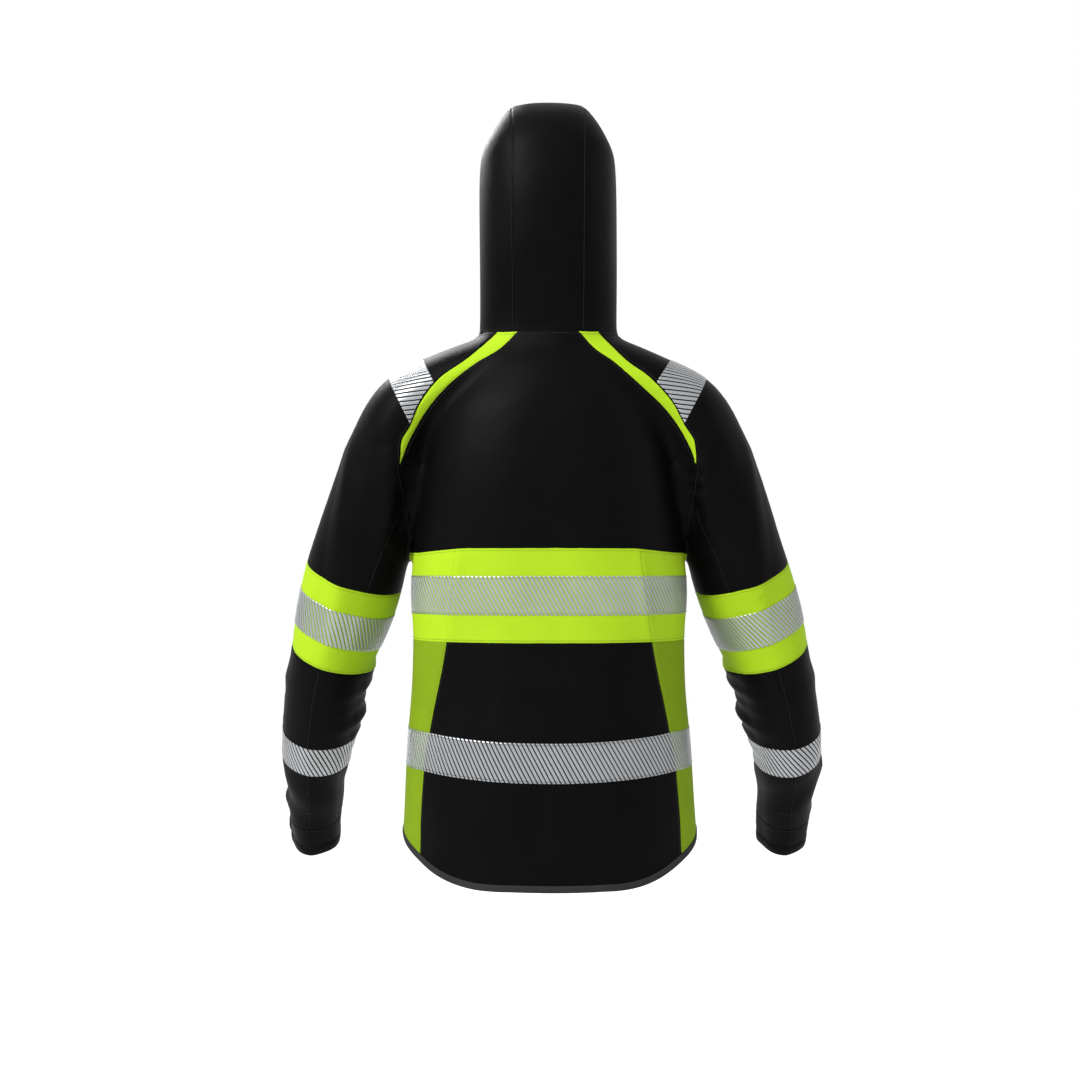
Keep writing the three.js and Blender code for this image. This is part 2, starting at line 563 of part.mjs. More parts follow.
put("back_yoke", "black", backYoke);
putPair("front_yoke", "black", frontYoke);
putPair("raglan_strip", "yellow", strip);
put("chest_band_back", "yellow", bodySkin.intersect(bandSlice).intersect(middle).intersect(behind()));
putPair("chest_band_side", "yellow", bodySkin.intersect(bandSlice).intersect(side));
putPair("chest_band_front", "yellow", bodySkin.intersect(bandSlice).intersect(middle)
  .intersect(before()).intersect(leftHalf).subtract(mainSlot));
put("waist_back", "black", bodySkin.intersect(lowSlice).intersect(middle).intersect(behind()));
putPair("side_panel", "sideYellow", bodySkin.intersect(lowSlice).intersect(side));
putPair("waist_front", "black", bodySkin.intersect(lowSlice).intersect(middle)
  .intersect(before()).intersect(leftHalf).subtract(mainSlot).subtract(pocketCut));
put("chest_tape", "silver", chestTape);
put("lower_tape", "silver", lowerTape);
put("hem_binding", "binding", hemBinding);
put("hanger_loop", "binding", hangerLoop);
putPair("sleeve_head", "black", sleeveHead);
putPair("shoulder_tape", "silver", shoulderTape);
putPair("upper_sleeve", "black", upperSleevePiece);
putPair("sleeve_band", "yellow", sleeveBand);
const bandTape = armSlice(SLEEVE_BAND, -TAPE_HEIGHT / 2, TAPE_HEIGHT / 2);
putPair("sleeve_band_tape", "silver", armCover.intersect(bandTape));
putPair("elbow_section", "black", elbow);
putPair("lower_sleeve", "black", lowerSleevePiece);
const forearmSlice = armSlice(FOREARM_TAPE_AT, -FOREARM_TAPE / 2, FOREARM_TAPE / 2);
putPair("forearm_tape", "silver", armCover.intersect(forearmSlice));
putPair("cuff", "black", cuff);
putPair("cuff_tab", "binding", cuffTab);
put("hood_neck", "black", hoodPanels.intersect(heights(0, gradeZ(HOOD_FOLD) - SEAM / 2)).subtract(mainSlot));
put("hood_centre", "black", hoodUpper.intersect(hoodMiddle));
putPair("hood_side", "black", hoodUpper.subtract(hoodMiddleWide).intersect(leftHalf));
put("hood_binding", "binding", hoodSkin.subtract(faceCut(0)).intersect(faceCut(FACE_BINDING))
  .intersect(heights(COLLAR_TOP + SEAM, 500)));
put("main_zip_tape", "zip", mainTape);
put("main_zip_chain", "zip", mainChain);
put("main_zip_box", "metal", mainBox);
put("main_zip_stop", "metal", topStop);
put("main_zip_slider", "metal", zipSlider(mainZip.matrix, 1, chainFace, -1.4));
put("main_zip_pull", "metal", zipPull(mainZip.matrix, 1, chainFace, PULL_LENGTH));
putPair("pocket_zip", "zip", pocketChain);
putPair("pocket_slider", "metal", zipSlider(pocketZip.matrix, 0.7, 0.3, -0.5));
putPair("pocket_pull", "metal", zipPull(pocketZip.matrix, 0.7, 0.3, PULL_LENGTH * 0.75));
putPair("pocket_bag", "binding", pocketBag);

export default coat;
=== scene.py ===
# Looks of the hooded high-visibility work coat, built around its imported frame.
# Lengths in this file are millimetres until a mesh is made. +X is the wearer's left and the
# front faces -Y, so that the camera behind the coat has +X on its left.
import json
import math

import bmesh
import bpy
import numpy as np
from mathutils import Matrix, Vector
from mathutils.bvhtree import BVHTree

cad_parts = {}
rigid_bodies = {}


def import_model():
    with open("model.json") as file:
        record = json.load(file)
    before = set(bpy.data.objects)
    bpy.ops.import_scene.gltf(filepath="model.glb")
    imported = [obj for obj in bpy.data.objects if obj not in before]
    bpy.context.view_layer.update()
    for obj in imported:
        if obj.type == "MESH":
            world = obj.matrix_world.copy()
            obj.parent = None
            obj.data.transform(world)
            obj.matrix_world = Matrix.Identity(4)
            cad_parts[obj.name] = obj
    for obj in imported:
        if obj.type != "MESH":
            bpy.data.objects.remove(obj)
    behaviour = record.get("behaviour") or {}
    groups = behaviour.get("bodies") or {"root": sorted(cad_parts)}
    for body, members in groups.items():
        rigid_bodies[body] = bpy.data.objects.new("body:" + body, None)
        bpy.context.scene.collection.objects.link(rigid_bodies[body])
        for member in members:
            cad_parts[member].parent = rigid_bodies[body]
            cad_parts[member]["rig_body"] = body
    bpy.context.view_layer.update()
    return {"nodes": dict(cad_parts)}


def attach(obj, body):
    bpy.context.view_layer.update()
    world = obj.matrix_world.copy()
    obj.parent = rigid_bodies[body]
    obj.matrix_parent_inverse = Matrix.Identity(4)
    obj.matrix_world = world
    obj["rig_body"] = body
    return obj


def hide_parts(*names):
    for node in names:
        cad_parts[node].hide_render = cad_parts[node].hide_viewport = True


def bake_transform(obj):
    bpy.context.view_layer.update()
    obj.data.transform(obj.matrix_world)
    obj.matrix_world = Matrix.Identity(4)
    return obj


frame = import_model()

# ---- The coat's pattern, as in the solid model ----
SECTIONS = np.array([
    # height, half width, back depth, front power, back power
    [-760, 205, 136, 2.4, 2.4],
    [-660, 197, 136, 2.4, 2.4],
    [-550, 191, 132, 2.4, 2.4],
    [-454, 184, 124, 2.4, 2.4],
    [-400, 183, 122, 2.4, 2.4],
    [-346, 186, 124, 2.4, 2.4],
    [-300, 183, 127, 2.4, 2.4],
    [-267, 178, 129, 2.4, 2.4],
    [-200, 173, 131, 2.4, 2.4],
    [-110, 160, 122, 2.4, 2.4],
    [-50, 125, 100, 2.4, 2.4],
    [0, 94, 78, 2.6, 2.4],
    [120, 93.5, 112, 4, 2.6],
    [180, 93.5, 118, 4, 2.6],
    [235, 92, 112, 4, 2.6],
    [270, 78, 97, 4, 2.6],
    [300, 60.5, 63, 3.6, 2.6],
    [318, 49, 10, 3, 2.6],
], float)
HOOD_FRONT = np.array([[0, 112.7], [120, 124], [180, 128], [270, 130], [300, 128], [318, 123]], float)
ARM = np.array([
    # centre x, y, z, half width, half depth
    [60, 0, -28, 40, 80],
    [130, 0, -60, 46, 84],
    [185, 0, -100, 55, 86],
    [210, -4, -150, 58, 86],
    [222, -8, -200, 65, 84],
    [247, -20, -267, 63, 78],
    [268, -34, -334, 66, 70],
    [304, -58, -435, 59, 62],
    [322, -80, -500, 55.5, 58],
    [335, -108, -568, 52, 54],
    [340, -140, -636, 44, 46],
    [344, -182, -735, 38, 39],
], float)
RAGLAN_OUT = np.array([[68, 0], [106, -36], [139.5, -61], [166, -96], [178, -123], [190.5, -147],
                       [192, -175], [186, -215], [182, -245], [184, -270]], float)
RAGLAN_IN = np.array([[40.5, 0], [65, -24], [94, -42], [127, -69], [155, -100], [172, -127],
                      [184, -151], [192, -174]], float)
PRINCESS = np.array([[-283, 117], [-397, 131], [-513, 155], [-572, 164], [-676, 170], [-780, 172]], float)
HOOD_SEAM = np.array([[100, 45], [235, 46], [330, 50]], float)
BETWEEN_ARM_AND_BODY = np.array([[-245, 182], [-267, 182.5], [-284, 185.5], [-300, 188.5], [-334, 193],
                                 [-352, 197], [-400, 206], [-760, 228]], float)
BAND_TOP, BAND_BOTTOM, BAND_MIDDLE = -283, -403, -343
LOWER_TAPE, LOWER_TAPE_RISE = -554, 9
TAPE_HEIGHT, FOREARM_TAPE, SHOULDER_TAPE = 50, 45, 52
SHOULDER_TAPE_UP = np.array([0.45, 0, 0.893])  # the tape over a shoulder rises this way
SHOULDER_TAPE_AT, SHOULDER_TAPE_REACH = 188, 2.45  # its place across that, and its half turn in radians
SIDE_HEM, TAIL_HEM = -662, -714
BINDING, HOOD_BINDING, CUFF_HEM, WELT = 8, 11, 13, 3.5
HEAD_END, SLEEVE_BAND, ELBOW_END, FOREARM_TAPE_AT, CUFF_END = -232, -375, -520, -556, -706
UNDERARM, RAGLAN_END, RAGLAN_WIDE, STRIP_END = -255, -262, 215, -176
BAND_HALF, CUFF_HEIGHT = 60, 44
HOOD_FOLD, COLLAR_TOP = 150, 15
FACE_EDGE = np.array([[16, -117], [40, -106], [150, -110], [285, -116], [330, -118]], float)
FACE_TOP = 286
ZIP_HALF = 5.2
POCKET_X, POCKET_TOP, POCKET_LENGTH, POCKET_HALF = 112, -409, 112, 4.4
CLOTH = 1.6  # thickness of the fabric
STRIPE_PITCH, STRIPE_GAP, STRIPE_SLANT = 5.9, 1.7, 0.54
STITCH, STITCH_GAP = 2.7, 1.1
VOXEL = 5.5
BACK_OF_ARM = -math.pi / 2


def smooth(table, at, column=1):
    """Monotone cubic through a table's rows, which are sorted by their first column."""
    table = table if table[0, 0] < table[-1, 0] else table[::-1]
    xs, ys = table[:, 0], table[:, column]
    h, d = np.diff(xs), np.diff(ys) / np.diff(xs)
    slope = np.zeros(len(xs))
    inner = d[:-1] * d[1:] > 0
    w1, w2 = 2 * h[1:] + h[:-1], h[1:] + 2 * h[:-1]
    with np.errstate(divide="ignore", invalid="ignore"):
        slope[1:-1] = np.where(inner, (w1 + w2) / (w1 / d[:-1] + w2 / d[1:]), 0)
    slope[0], slope[-1] = d[0], d[-1]
    at = np.clip(np.asarray(at, float), xs[0], xs[-1])
    k = np.clip(np.searchsorted(xs, at) - 1, 0, len(h) - 1)
    t = (at - xs[k]) / h[k]
    a = (2 * t**3 - 3 * t**2 + 1) * ys[k] + (t**3 - 2 * t**2 + t) * h[k] * slope[k]
    return a + (-2 * t**3 + 3 * t**2) * ys[k + 1] + (t**3 - t**2) * h[k] * slope[k + 1]


def front_depth(z):
    return np.where(z > 0, smooth(HOOD_FRONT, z), 112.7 - 0.0448 * z)


def unit(vectors):
    """Vectors made one long."""
    return vectors / np.linalg.norm(vectors, axis=-1, keepdims=True)


def reach_of(path):
    """Distance along a path to each of its points."""
    return np.concatenate([[0], np.cumsum(np.linalg.norm(np.diff(path, axis=0), axis=1))])


def along(at, reach, path):
    """Points of a path at distances along it."""
    return np.stack([np.interp(at, reach, path[:, k]) for k in range(3)], -1)


def body_point(z, turn, grow=0.0):
    """A point of the body or hood: turn is 0 at the wearer's left, a quarter turn behind."""
    z, turn = np.broadcast_arrays(np.asarray(z, float), np.asarray(turn, float))
    c, s = np.cos(turn), np.sin(turn)
    power = 2 / np.where(s < 0, smooth(SECTIONS, z, 3), smooth(SECTIONS, z, 4))
    x = np.sign(c) * (smooth(SECTIONS, z, 1) + grow) * np.abs(c) ** power
    depth = np.where(s < 0, front_depth(z), smooth(SECTIONS, z, 2)) + grow
    return np.stack([x, np.sign(s) * depth * np.abs(s) ** power, z], -1)


# ---- The arm's centre line: points, directions and sides by height ----
arm_z = np.linspace(ARM[0, 2], ARM[-1, 2], 240)
arm_table = ARM[:, [2, 0, 1, 3, 4]][::-1]
arm_line = np.stack([smooth(arm_table, arm_z, 1), smooth(arm_table, arm_z, 2), arm_z], -1)
arm_along = unit(np.gradient(arm_line, axis=0))
arm_side = unit(np.stack([-arm_along[:, 2], 0 * arm_z, arm_along[:, 0]], -1))
arm_ahead = np.cross(arm_along, arm_side)
arm_length = reach_of(arm_line)


def arm_point(z, turn, grow=0.0):
    """A point of the left sleeve: turn is 0 outside, a quarter turn in front."""
    z, turn = np.broadcast_arrays(np.asarray(z, float), np.asarray(turn, float))
    across = np.cos(turn) * (smooth(arm_table, z, 3) + grow)
    ahead = np.sin(turn) * (smooth(arm_table, z, 4) + grow)
    middle, side, front = (along(-z, -arm_z, values) for values in (arm_line, arm_side, arm_ahead))
    return middle + across[..., None] * side + ahead[..., None] * front


def arm_frame(z):
    """Point and direction of the centre line where the solid model cuts across the sleeve."""
    rows = ARM[:, :3]
    k = int(np.argmax(rows[:, 2] <= z))
    a, b = rows[k - 1], rows[k]
    return a + (b - a) * (z - a[2]) / (b[2] - a[2]), (b - a) / np.linalg.norm(b - a)


def arm_place(p):
    """Distance along the left arm's centre line and angle round it, of points with x taken positive."""
    s, turn = np.zeros(len(p)), np.zeros(len(p))
    for start in range(0, len(p), 4000):
        part = p[start : start + 4000]
        near = np.argmin(((part[:, None] - arm_line[None]) ** 2).sum(-1), axis=1)
        d = part - arm_line[near]
        s[start : start + 4000] = arm_length[near]
        turn[start : start + 4000] = np.arctan2((d * arm_ahead[near]).sum(1), (d * arm_side[near]).sum(1))
    return s, turn


# ---- Fields over the coat: signed distances to seams ----
def mirrored(p):
    return np.stack([np.abs(p[:, 0]), p[:, 1], p[:, 2]], -1)


def across_line(table, p, flip=True):
    """Signed distance outwards from a seam drawn as x over z."""
    line = table[:, ::-1] if flip else table
    x = smooth(line, p[:, 2])
    slope = smooth(line, p[:, 2] + 1) - smooth(line, p[:, 2] - 1)
    return (np.abs(p[:, 0]) - x) / np.sqrt(1 + (slope / 2) ** 2)


def neck(p):
    rise = np.clip((np.abs(p[:, 0]) - 50) / 40, 0, 1)
    return p[:, 2] - 4 * rise * rise * (3 - 2 * rise)


def hem(p):
    past = np.clip((np.abs(p[:, 0]) - 75) / 122, 0, 1)
    behind = TAIL_HEM + (SIDE_HEM - TAIL_HEM) * past**2.5
    before = SIDE_HEM + 7 - 7 * np.clip(np.abs(p[:, 0]) / 197, 0, 1) ** 2
    mix = np.clip(p[:, 1] / 30 + 0.5, 0, 1)
    return p[:, 2] - (behind * mix + before * (1 - mix))


def band_top(p):
    dip = 5 * np.clip((np.abs(p[:, 0]) - 112) / 55, 0, 1) * (p[:, 1] > 0)
    return p[:, 2] - BAND_TOP + dip


def is_arm(p):
    high = across_line(RAGLAN_OUT, p) > 0
    low = np.abs(p[:, 0]) > smooth(BETWEEN_ARM_AND_BODY, p[:, 2])
    return np.where(p[:, 2] > UNDERARM, high, low) & (neck(p) < 0)


def plane(point, square_to):
    return lambda p: (mirrored(p) - point) @ square_to


def face(p):
    """Positive inside the hood's face opening."""
    a = smooth(FACE_EDGE, p[:, 2]) - p[:, 1]
    b = p[:, 2] - COLLAR_TOP
    c = FACE_TOP - p[:, 2]
    for other in (b, c):
        k = 18
        h = np.clip(0.5 + 0.5 * (other - a) / k, 0, 1)
        a = other * (1 - h) + a * h - k * h * (1 - h)
    return a


band_point, band_along = arm_frame(SLEEVE_BAND)
head_point, head_along = arm_frame(HEAD_END)
elbow_point, elbow_along = arm_frame(ELBOW_END)
fore_point, fore_along = arm_frame(FOREARM_TAPE_AT)
cuff_point, cuff_along = arm_frame(CUFF_END)
head_cut = plane(head_point, head_along)
band_from = plane(band_point - BAND_HALF * band_along, band_along)
band_to = plane(band_point + BAND_HALF * band_along, band_along)
elbow_cut = plane(elbow_point, elbow_along)
cuff_from = plane(cuff_point - CUFF_HEIGHT * cuff_along, cuff_along)
cuff_to = plane(cuff_point, cuff_along)
seam_points = arm_point(np.linspace(-380, -735, 30), BACK_OF_ARM)
forearm_seam = lambda p: across_line(seam_points[:, [2, 0]], p, flip=False)
upper_points = arm_point(np.linspace(-190, -350, 20), np.radians(np.linspace(-130, -112, 20)))
upper_seam = lambda p: across_line(upper_points[:, [2, 0]], p, flip=False)
hood_seam = lambda p: across_line(HOOD_SEAM, p, flip=False)
princess = lambda p: across_line(PRINCESS, p, flip=False)
raglan_out = lambda p: across_line(RAGLAN_OUT, p)
raglan_in = lambda p: across_line(RAGLAN_IN, p)
zip_side = lambda p: np.abs(p[:, 0]) - ZIP_HALF
pocket = lambda p: np.maximum(np.abs(np.abs(p[:, 0]) - POCKET_X) - POCKET_HALF,
                              np.maximum(p[:, 2] - POCKET_TOP, POCKET_TOP - POCKET_LENGTH - p[:, 2]))


# ---- Meshes ----
def new_object(name, verts, faces):
    mesh = bpy.data.meshes.new(name)
    mesh.from_pydata((np.reshape(verts, (-1, 3)) * 0.001).tolist(), [], [list(map(int, f)) for f in faces])
    mesh.validate()
    mesh.polygons.foreach_set("use_smooth", [True] * len(mesh.polygons))
    obj = bpy.data.objects.new(name, mesh)
    bpy.context.collection.objects.link(obj)
    return obj


def applied(obj):
    """Replace an object's mesh by what its modifiers make of it."""
    made = bpy.data.meshes.new_from_object(obj.evaluated_get(bpy.context.evaluated_depsgraph_get()))
    obj.modifiers.clear()
    old, obj.data = obj.data, made
    bpy.data.meshes.remove(old)
    return obj


def tube(rings):
    """Vertices and faces of a closed tube through rings of points, with its ends closed."""
    count, around = rings.shape[:2]
    verts = np.concatenate([rings.reshape(-1, 3), rings[0].mean(0)[None], rings[-1].mean(0)[None]])
    faces, n = [], count * around
    for i in range(around):
        j = (i + 1) % around
        faces.append((n, j, i))
        faces.append((n + 1, n - around + i, n - around + j))
        faces += [(r * around + i, r * around + j, (r + 1) * around + j, (r + 1) * around + i)
                  for r in range(count - 1)]
    return verts, faces


def gathered(parts):
    """Several meshes as one."""
    verts, faces, base = [], [], 0
    for v, f in parts:
        verts.append(v)
        faces += [tuple(i + base for i in one) for one in f]
        base += len(v)
    return np.concatenate(verts), faces


def triangles(mesh):
    mesh.calc_loop_triangles()
    t = np.empty(len(mesh.loop_triangles) * 3, np.int64)
    mesh.loop_triangles.foreach_get("vertices", t)
    v = np.empty(len(mesh.vertices) * 3)
    mesh.vertices.foreach_get("co", v)
    return v.reshape(-1, 3) * 1000, t.reshape(-1, 3)


def sides_of(t):
    """The three sides of each triangle, all first ones, then all second and third ones."""
    return np.concatenate([t[:, [0, 1]], t[:, [1, 2]], t[:, [2, 0]]])


def vertex_normals(v, t):
    n = np.cross(v[t[:, 1]] - v[t[:, 0]], v[t[:, 2]] - v[t[:, 0]])
    total = np.stack([sum(np.bincount(t[:, k], n[:, a], len(v)) for k in range(3)) for a in range(3)], -1)
    return total / np.maximum(np.linalg.norm(total, axis=1), 1e-12)[:, None]


def relax(v, t, times, weight):
    """Laplacian smoothing, weighted by vertex."""
    edges = np.unique(np.sort(sides_of(t), axis=1), axis=0)
    a, b = edges.T
    degree = np.bincount(a, minlength=len(v)) + np.bincount(b, minlength=len(v))
    for _ in range(times):
        total = [np.bincount(a, v[b, k], len(v)) + np.bincount(b, v[a, k], len(v)) for k in range(3)]
        v = v + weight[:, None] * (np.stack(total, -1) / degree[:, None] - v)
    return v


def whole_coat():
    """One closed surface of body, hood and sleeves, evenly meshed and smoothed."""
    turns = np.arange(128) * 2 * np.pi / 128
    levels = np.concatenate([np.arange(-760, 300, 8), [300, 306, 311, 315, 318]])
    body = tube(body_point(levels[:, None], turns[None], -CLOTH / 2))
    stations = np.linspace(ARM[0, 2], ARM[-1, 2], 100)
    verts, faces = tube(arm_point(stations[:, None], np.arange(72)[None] * 2 * np.pi / 72, -CLOTH / 2))
    parts = [body, (verts, faces), (verts * [-1, 1, 1], [face[::-1] for face in faces])]
    obj = new_object("coat_base", *gathered(parts))
    remesh = obj.modifiers.new("even", "REMESH")
    remesh.mode, remesh.voxel_size = "VOXEL", VOXEL * 0.001
    v, t = triangles(applied(obj).data)
    bpy.data.objects.remove(obj)
    near_armhole = np.exp(-(across_line(RAGLAN_OUT, v) / 30) ** 2) * (v[:, 2] < 0) * (v[:, 2] > -300)
    crown = np.clip((v[:, 2] - 225) / 40, 0, 1)
    near_neck = np.exp(-(v[:, 2] / 14) ** 2)
    return relax(v, t, 14, 0.35 * (1 - 0.8 * crown) * (1 - 0.6 * near_neck) + 0.25 * near_armhole), t


rest, tris = whole_coat()
normal = vertex_normals(rest, tris)
arm_of = is_arm(rest)
along_arm, round_arm = np.zeros(len(rest)), np.zeros(len(rest))
along_arm[arm_of], round_arm[arm_of] = arm_place(mirrored(rest[arm_of]))


# ---- Folds ----
def bump(t):
    return np.exp(-t * t)


def turn_gap(turn, centre):
    return (turn - centre + np.pi) % (2 * np.pi) - np.pi


def waves(p, seed, size, count=9):
    """Soft unevenness, about one in height, from sines of mixed directions."""
    mix = np.random.default_rng(seed)
    total = np.zeros(len(p))
    for _ in range(count):
        direction = mix.normal(size=3) / np.array(size)
        total += np.sin(p @ direction * 2 + mix.uniform(0, 2 * np.pi))
    return total / math.sqrt(count / 2)


def distance_to_path(p, path):
    path = np.array(path, float)
    best = np.full(len(p), 1e9)
    for a, b in zip(path[:-1], path[1:]):
        ab = b - a
        t = np.clip(((p - a) @ ab) / (ab @ ab), 0, 1)
        best = np.minimum(best, np.linalg.norm(p - a - t[:, None] * ab, axis=1))
    return best


def tent(t):
    """A sharp fold: one at its ridge, falling straight to nothing."""
    return np.clip(1 - np.abs(t), 0, 1)


def arm_reach(z):
    """Distance along the arm's centre line to a height on it."""
    return np.interp(-z, -arm_z, arm_length)


RIDGE = np.array([[-155, -45], [-312, -80], [-400, -90]], float)  # height, turn in degrees
ELBOW_FOLDS = ((-432, 6.5, 15), (-452, 8, 17), (-478, 5, 16), (-503, 12, 20), (-527, 9, 15), (-548, 4, 16))
OUTER_FOLDS = ((-162, 2.5, 26, 0), (-468, 3, 20, 0), (-592, 5, 30, -1), (-640, 6, 18, 1), (-655, 3, 16, -1))
UNDERARM_CREASES = (
    (((186, 60, -165), (190, 52, -230), (200, 40, -300)), 8, -4.5),
    (((204, 74, -160), (208, 66, -225), (216, 52, -300)), 9, 3.5),
    (((222, 78, -150), (228, 66, -215), (240, 46, -300)), 10, -3.0),
)
GATHERS = ((196, 66, -165), (198, 60, -235), (204, 50, -300))


def folded(p, n):
    """Worn points: the cloth's folds, and the slight turn of its hang to the wearer's right."""
    x, y, z = p.T
    side = np.sign(x)
    arm, s, turn = arm_of, along_arm, round_arm
    level = np.interp(s, arm_length, arm_z)
    # a little unevenness everywhere, least on the hood, and more cloth outside each arm
    lift = np.where(arm, 0.7 * waves(p, 5, (70, 70, 90)), 1.1 * waves(p, 3, (60, 60, 240)))
    lift *= np.where(z > 10, 0.5, 1)
    lift += arm * 6.5 * bump(turn / 0.8) * bump((level + 300) / 150)
    # a ridge down the back of each sleeve, along the seam below the band
    gap = turn_gap(turn, np.radians(smooth(RIDGE, level)))
    upper = np.clip((-130 - level) / 60, 0, 1) * np.clip((level + 420) / 40, 0, 1)
    lift += arm * 5.0 * tent(gap / 0.34) * upper
    lift += arm * (11.0 * tent(gap / 1.1) - 2) * np.clip((-385 - level) / 40, 0, 1)
    # folds heaped inside the elbow, and corners outside the arm
    inner = bump(turn_gap(turn, math.radians(166)) / 0.8)
    for at, height, width in ELBOW_FOLDS:
        lift += arm * height * inner * tent((s - arm_reach(at) + 12 * np.sin(turn)) / width)
    for at, height, width, hand in OUTER_FOLDS:
        lift += arm * (side * hand >= 0) * height * bump(turn / 0.6) * tent((s - arm_reach(at)) / width)
    # creases and small gathers behind the underarm
    for route, width, height in UNDERARM_CREASES:
        lift += height * bump(distance_to_path(mirrored(p), route) / width)
    gathered_at = bump(distance_to_path(mirrored(p), GATHERS) / 15)
    lift += 2.0 * gathered_at * np.sin(z / 4.6 + 2 * np.sin(z / 17 + side))
    # fold where the side panels meet the back, at the chest band and below it
    lift += 3.0 * bump((np.abs(x) - smooth(PRINCESS, z) + 2) / 9) * (y > 0) * ~arm * bump((z + 350) / 90)
    # the tail's edge stands out a little
    lift += 2.5 * (y > 0) * ~arm * bump(hem(p) / 40) * np.cos(x / 38)
    # shallow spiral folds on the forearm, and gathers at the cuff
    lift += arm * 1.6 * np.sin(s / 13 + 2.2 * turn + side) * bump((s - arm_reach(-610)) / 60)
    lift += arm * 1.4 * np.sin(5 * turn + 2 * side) * bump((s - arm_reach(-700)) / 34)
    moved = p + n * lift[:, None]
    moved[:, 0] += 10 * bump((x + 112) / 60) * bump((z + 78) / 62) * np.clip(y / 30, 0, 1)
    behind = np.clip((y + 40) / 80, 0, 1)
    moved[:, 0] -= np.where(arm, (5 - 2 * side) * bump((level + 560) / 110),
                            3.5 * behind * np.clip((-z - 250) / 300, 0, 1))
    return moved


worn = folded(rest, normal)
worn = relax(worn, tris, 2, np.full(len(rest), 0.4))
worn_normal = vertex_normals(worn, tris)


# ---- Cutting the surface along its seams ----
class Skin:
    """Triangles with rest points, worn points and worn normals at their corners."""

    def __init__(self):
        self.rest, self.worn, self.normal, self.tris = rest, worn, worn_normal, tris

    def middles(self):
        return self.rest[self.tris].mean(1)

    def cut(self, field, where):
        f = field(self.rest)
        f = np.where(np.abs(f) < 0.25, 0, f)
        chosen = where(self.middles())
        ft = f[self.tris]
        crossing = chosen & (ft.min(1) < 0) & (ft.max(1) > 0)
        if not crossing.any():
            return
        t = self.tris[crossing]
        edges = np.sort(sides_of(t), axis=1)
        edges = edges[f[edges[:, 0]] * f[edges[:, 1]] < 0]
        edges = np.unique(edges, axis=0)
        low, high = np.zeros(len(edges)), np.ones(len(edges))
        sign = np.sign(f[edges[:, 0]])
        for _ in range(8):
            mid = (low + high) / 2
            at = self.rest[edges[:, 0]] * (1 - mid)[:, None] + self.rest[edges[:, 1]] * mid[:, None]
            same = np.sign(field(at)) == sign
            low, high = np.where(same, mid, low), np.where(same, high, mid)
        mid = ((low + high) / 2)[:, None]
        first = len(self.rest)
        for name in ("rest", "worn", "normal"):
            values = getattr(self, name)
            between = values[edges[:, 0]] * (1 - mid) + values[edges[:, 1]] * mid
            setattr(self, name, np.concatenate([values, between]))
        at_edge = {(int(a), int(b)): first + i for i, (a, b) in enumerate(edges)}
        made = []
        for tri in t.tolist():
            signs = [np.sign(f[i]) for i in tri]
            if 0 in signs:
                k = signs.index(0)
                a, b, c = tri[k], tri[(k + 1) % 3], tri[(k + 2) % 3]
                m = at_edge[(min(b, c), max(b, c))]
                made += [(a, b, m), (a, m, c)]
                continue
            k = next(i for i in range(3) if signs.count(signs[i]) == 1)
            a, b, c = tri[k], tri[(k + 1) % 3], tri[(k + 2) % 3]
            m, n = at_edge[(min(a, b), max(a, b))], at_edge[(min(a, c), max(a, c))]
            made += [(a, m, n), (m, b, c), (m, c, n)]
        self.tris = np.concatenate([self.tris[~crossing], np.array(made)])

    def groove(self, field, where, half=2.2, depth=0.8):
        """Cut along a seam and beside it, and sink the seam itself."""
        for shift in (0, -half, half):
            self.cut(lambda p, d=shift: field(p) - d, where)
        used = np.zeros(len(self.rest), bool)
        used[np.unique(self.tris[where(self.middles())])] = True
        sunk = used & (np.abs(field(self.rest)) < 0.3)
        self.worn = np.where(sunk[:, None], self.worn - self.normal * depth, self.worn)


skin = Skin()
on_body = lambda p: ~is_arm(p) & (neck(p) < 0)
on_hood = lambda p: (neck(p) >= 0)
on_sleeve = is_arm
arm_back = lambda p: is_arm(p) & (p[:, 1] > smooth(arm_table, p[:, 2], 2))
round_neck = lambda p: (np.abs(p[:, 2]) < 30) & (np.abs(p[:, 0]) < 130)
raglan_part = lambda p: (p[:, 2] > RAGLAN_END) & (np.abs(p[:, 0]) < RAGLAN_WIDE)
skin.groove(neck, round_neck)
skin.groove(raglan_out, lambda p: raglan_part(p) & (neck(p) < 0))
skin.groove(raglan_in, lambda p: (p[:, 2] > STRIP_END + 4) & (p[:, 1] > 0) & on_body(p))
skin.groove(band_top, on_body)
skin.groove(lambda p: p[:, 2] - BAND_BOTTOM, on_body)
skin.groove(princess, lambda p: on_body(p) & (p[:, 2] < BAND_TOP))
skin.groove(lambda p: p[:, 1], lambda p: on_body(p) & (p[:, 2] > BAND_TOP) & (p[:, 2] < -235), depth=0.4)
skin.cut(hem, on_body)
skin.cut(zip_side, lambda p: (p[:, 1] < 0) & (p[:, 2] < 30) & (np.abs(p[:, 0]) < 20))
skin.cut(pocket, lambda p: on_body(p) & (p[:, 1] < 0) & (np.abs(np.abs(p[:, 0]) - POCKET_X) < 20))
skin.cut(lambda p: p[:, 2] - HOOD_FOLD, on_hood)
skin.groove(hood_seam, on_hood, depth=0.9)
skin.cut(face, lambda p: on_hood(p) & (p[:, 1] < 0))
for field in (head_cut, elbow_cut, cuff_to):
    skin.cut(field, lambda p, f=field: on_sleeve(p) & (np.abs(f(p)) < 20))
for field in (band_from, band_to, cuff_from):
    skin.groove(field, lambda p, f=field: on_sleeve(p) & (np.abs(f(p)) < 20))
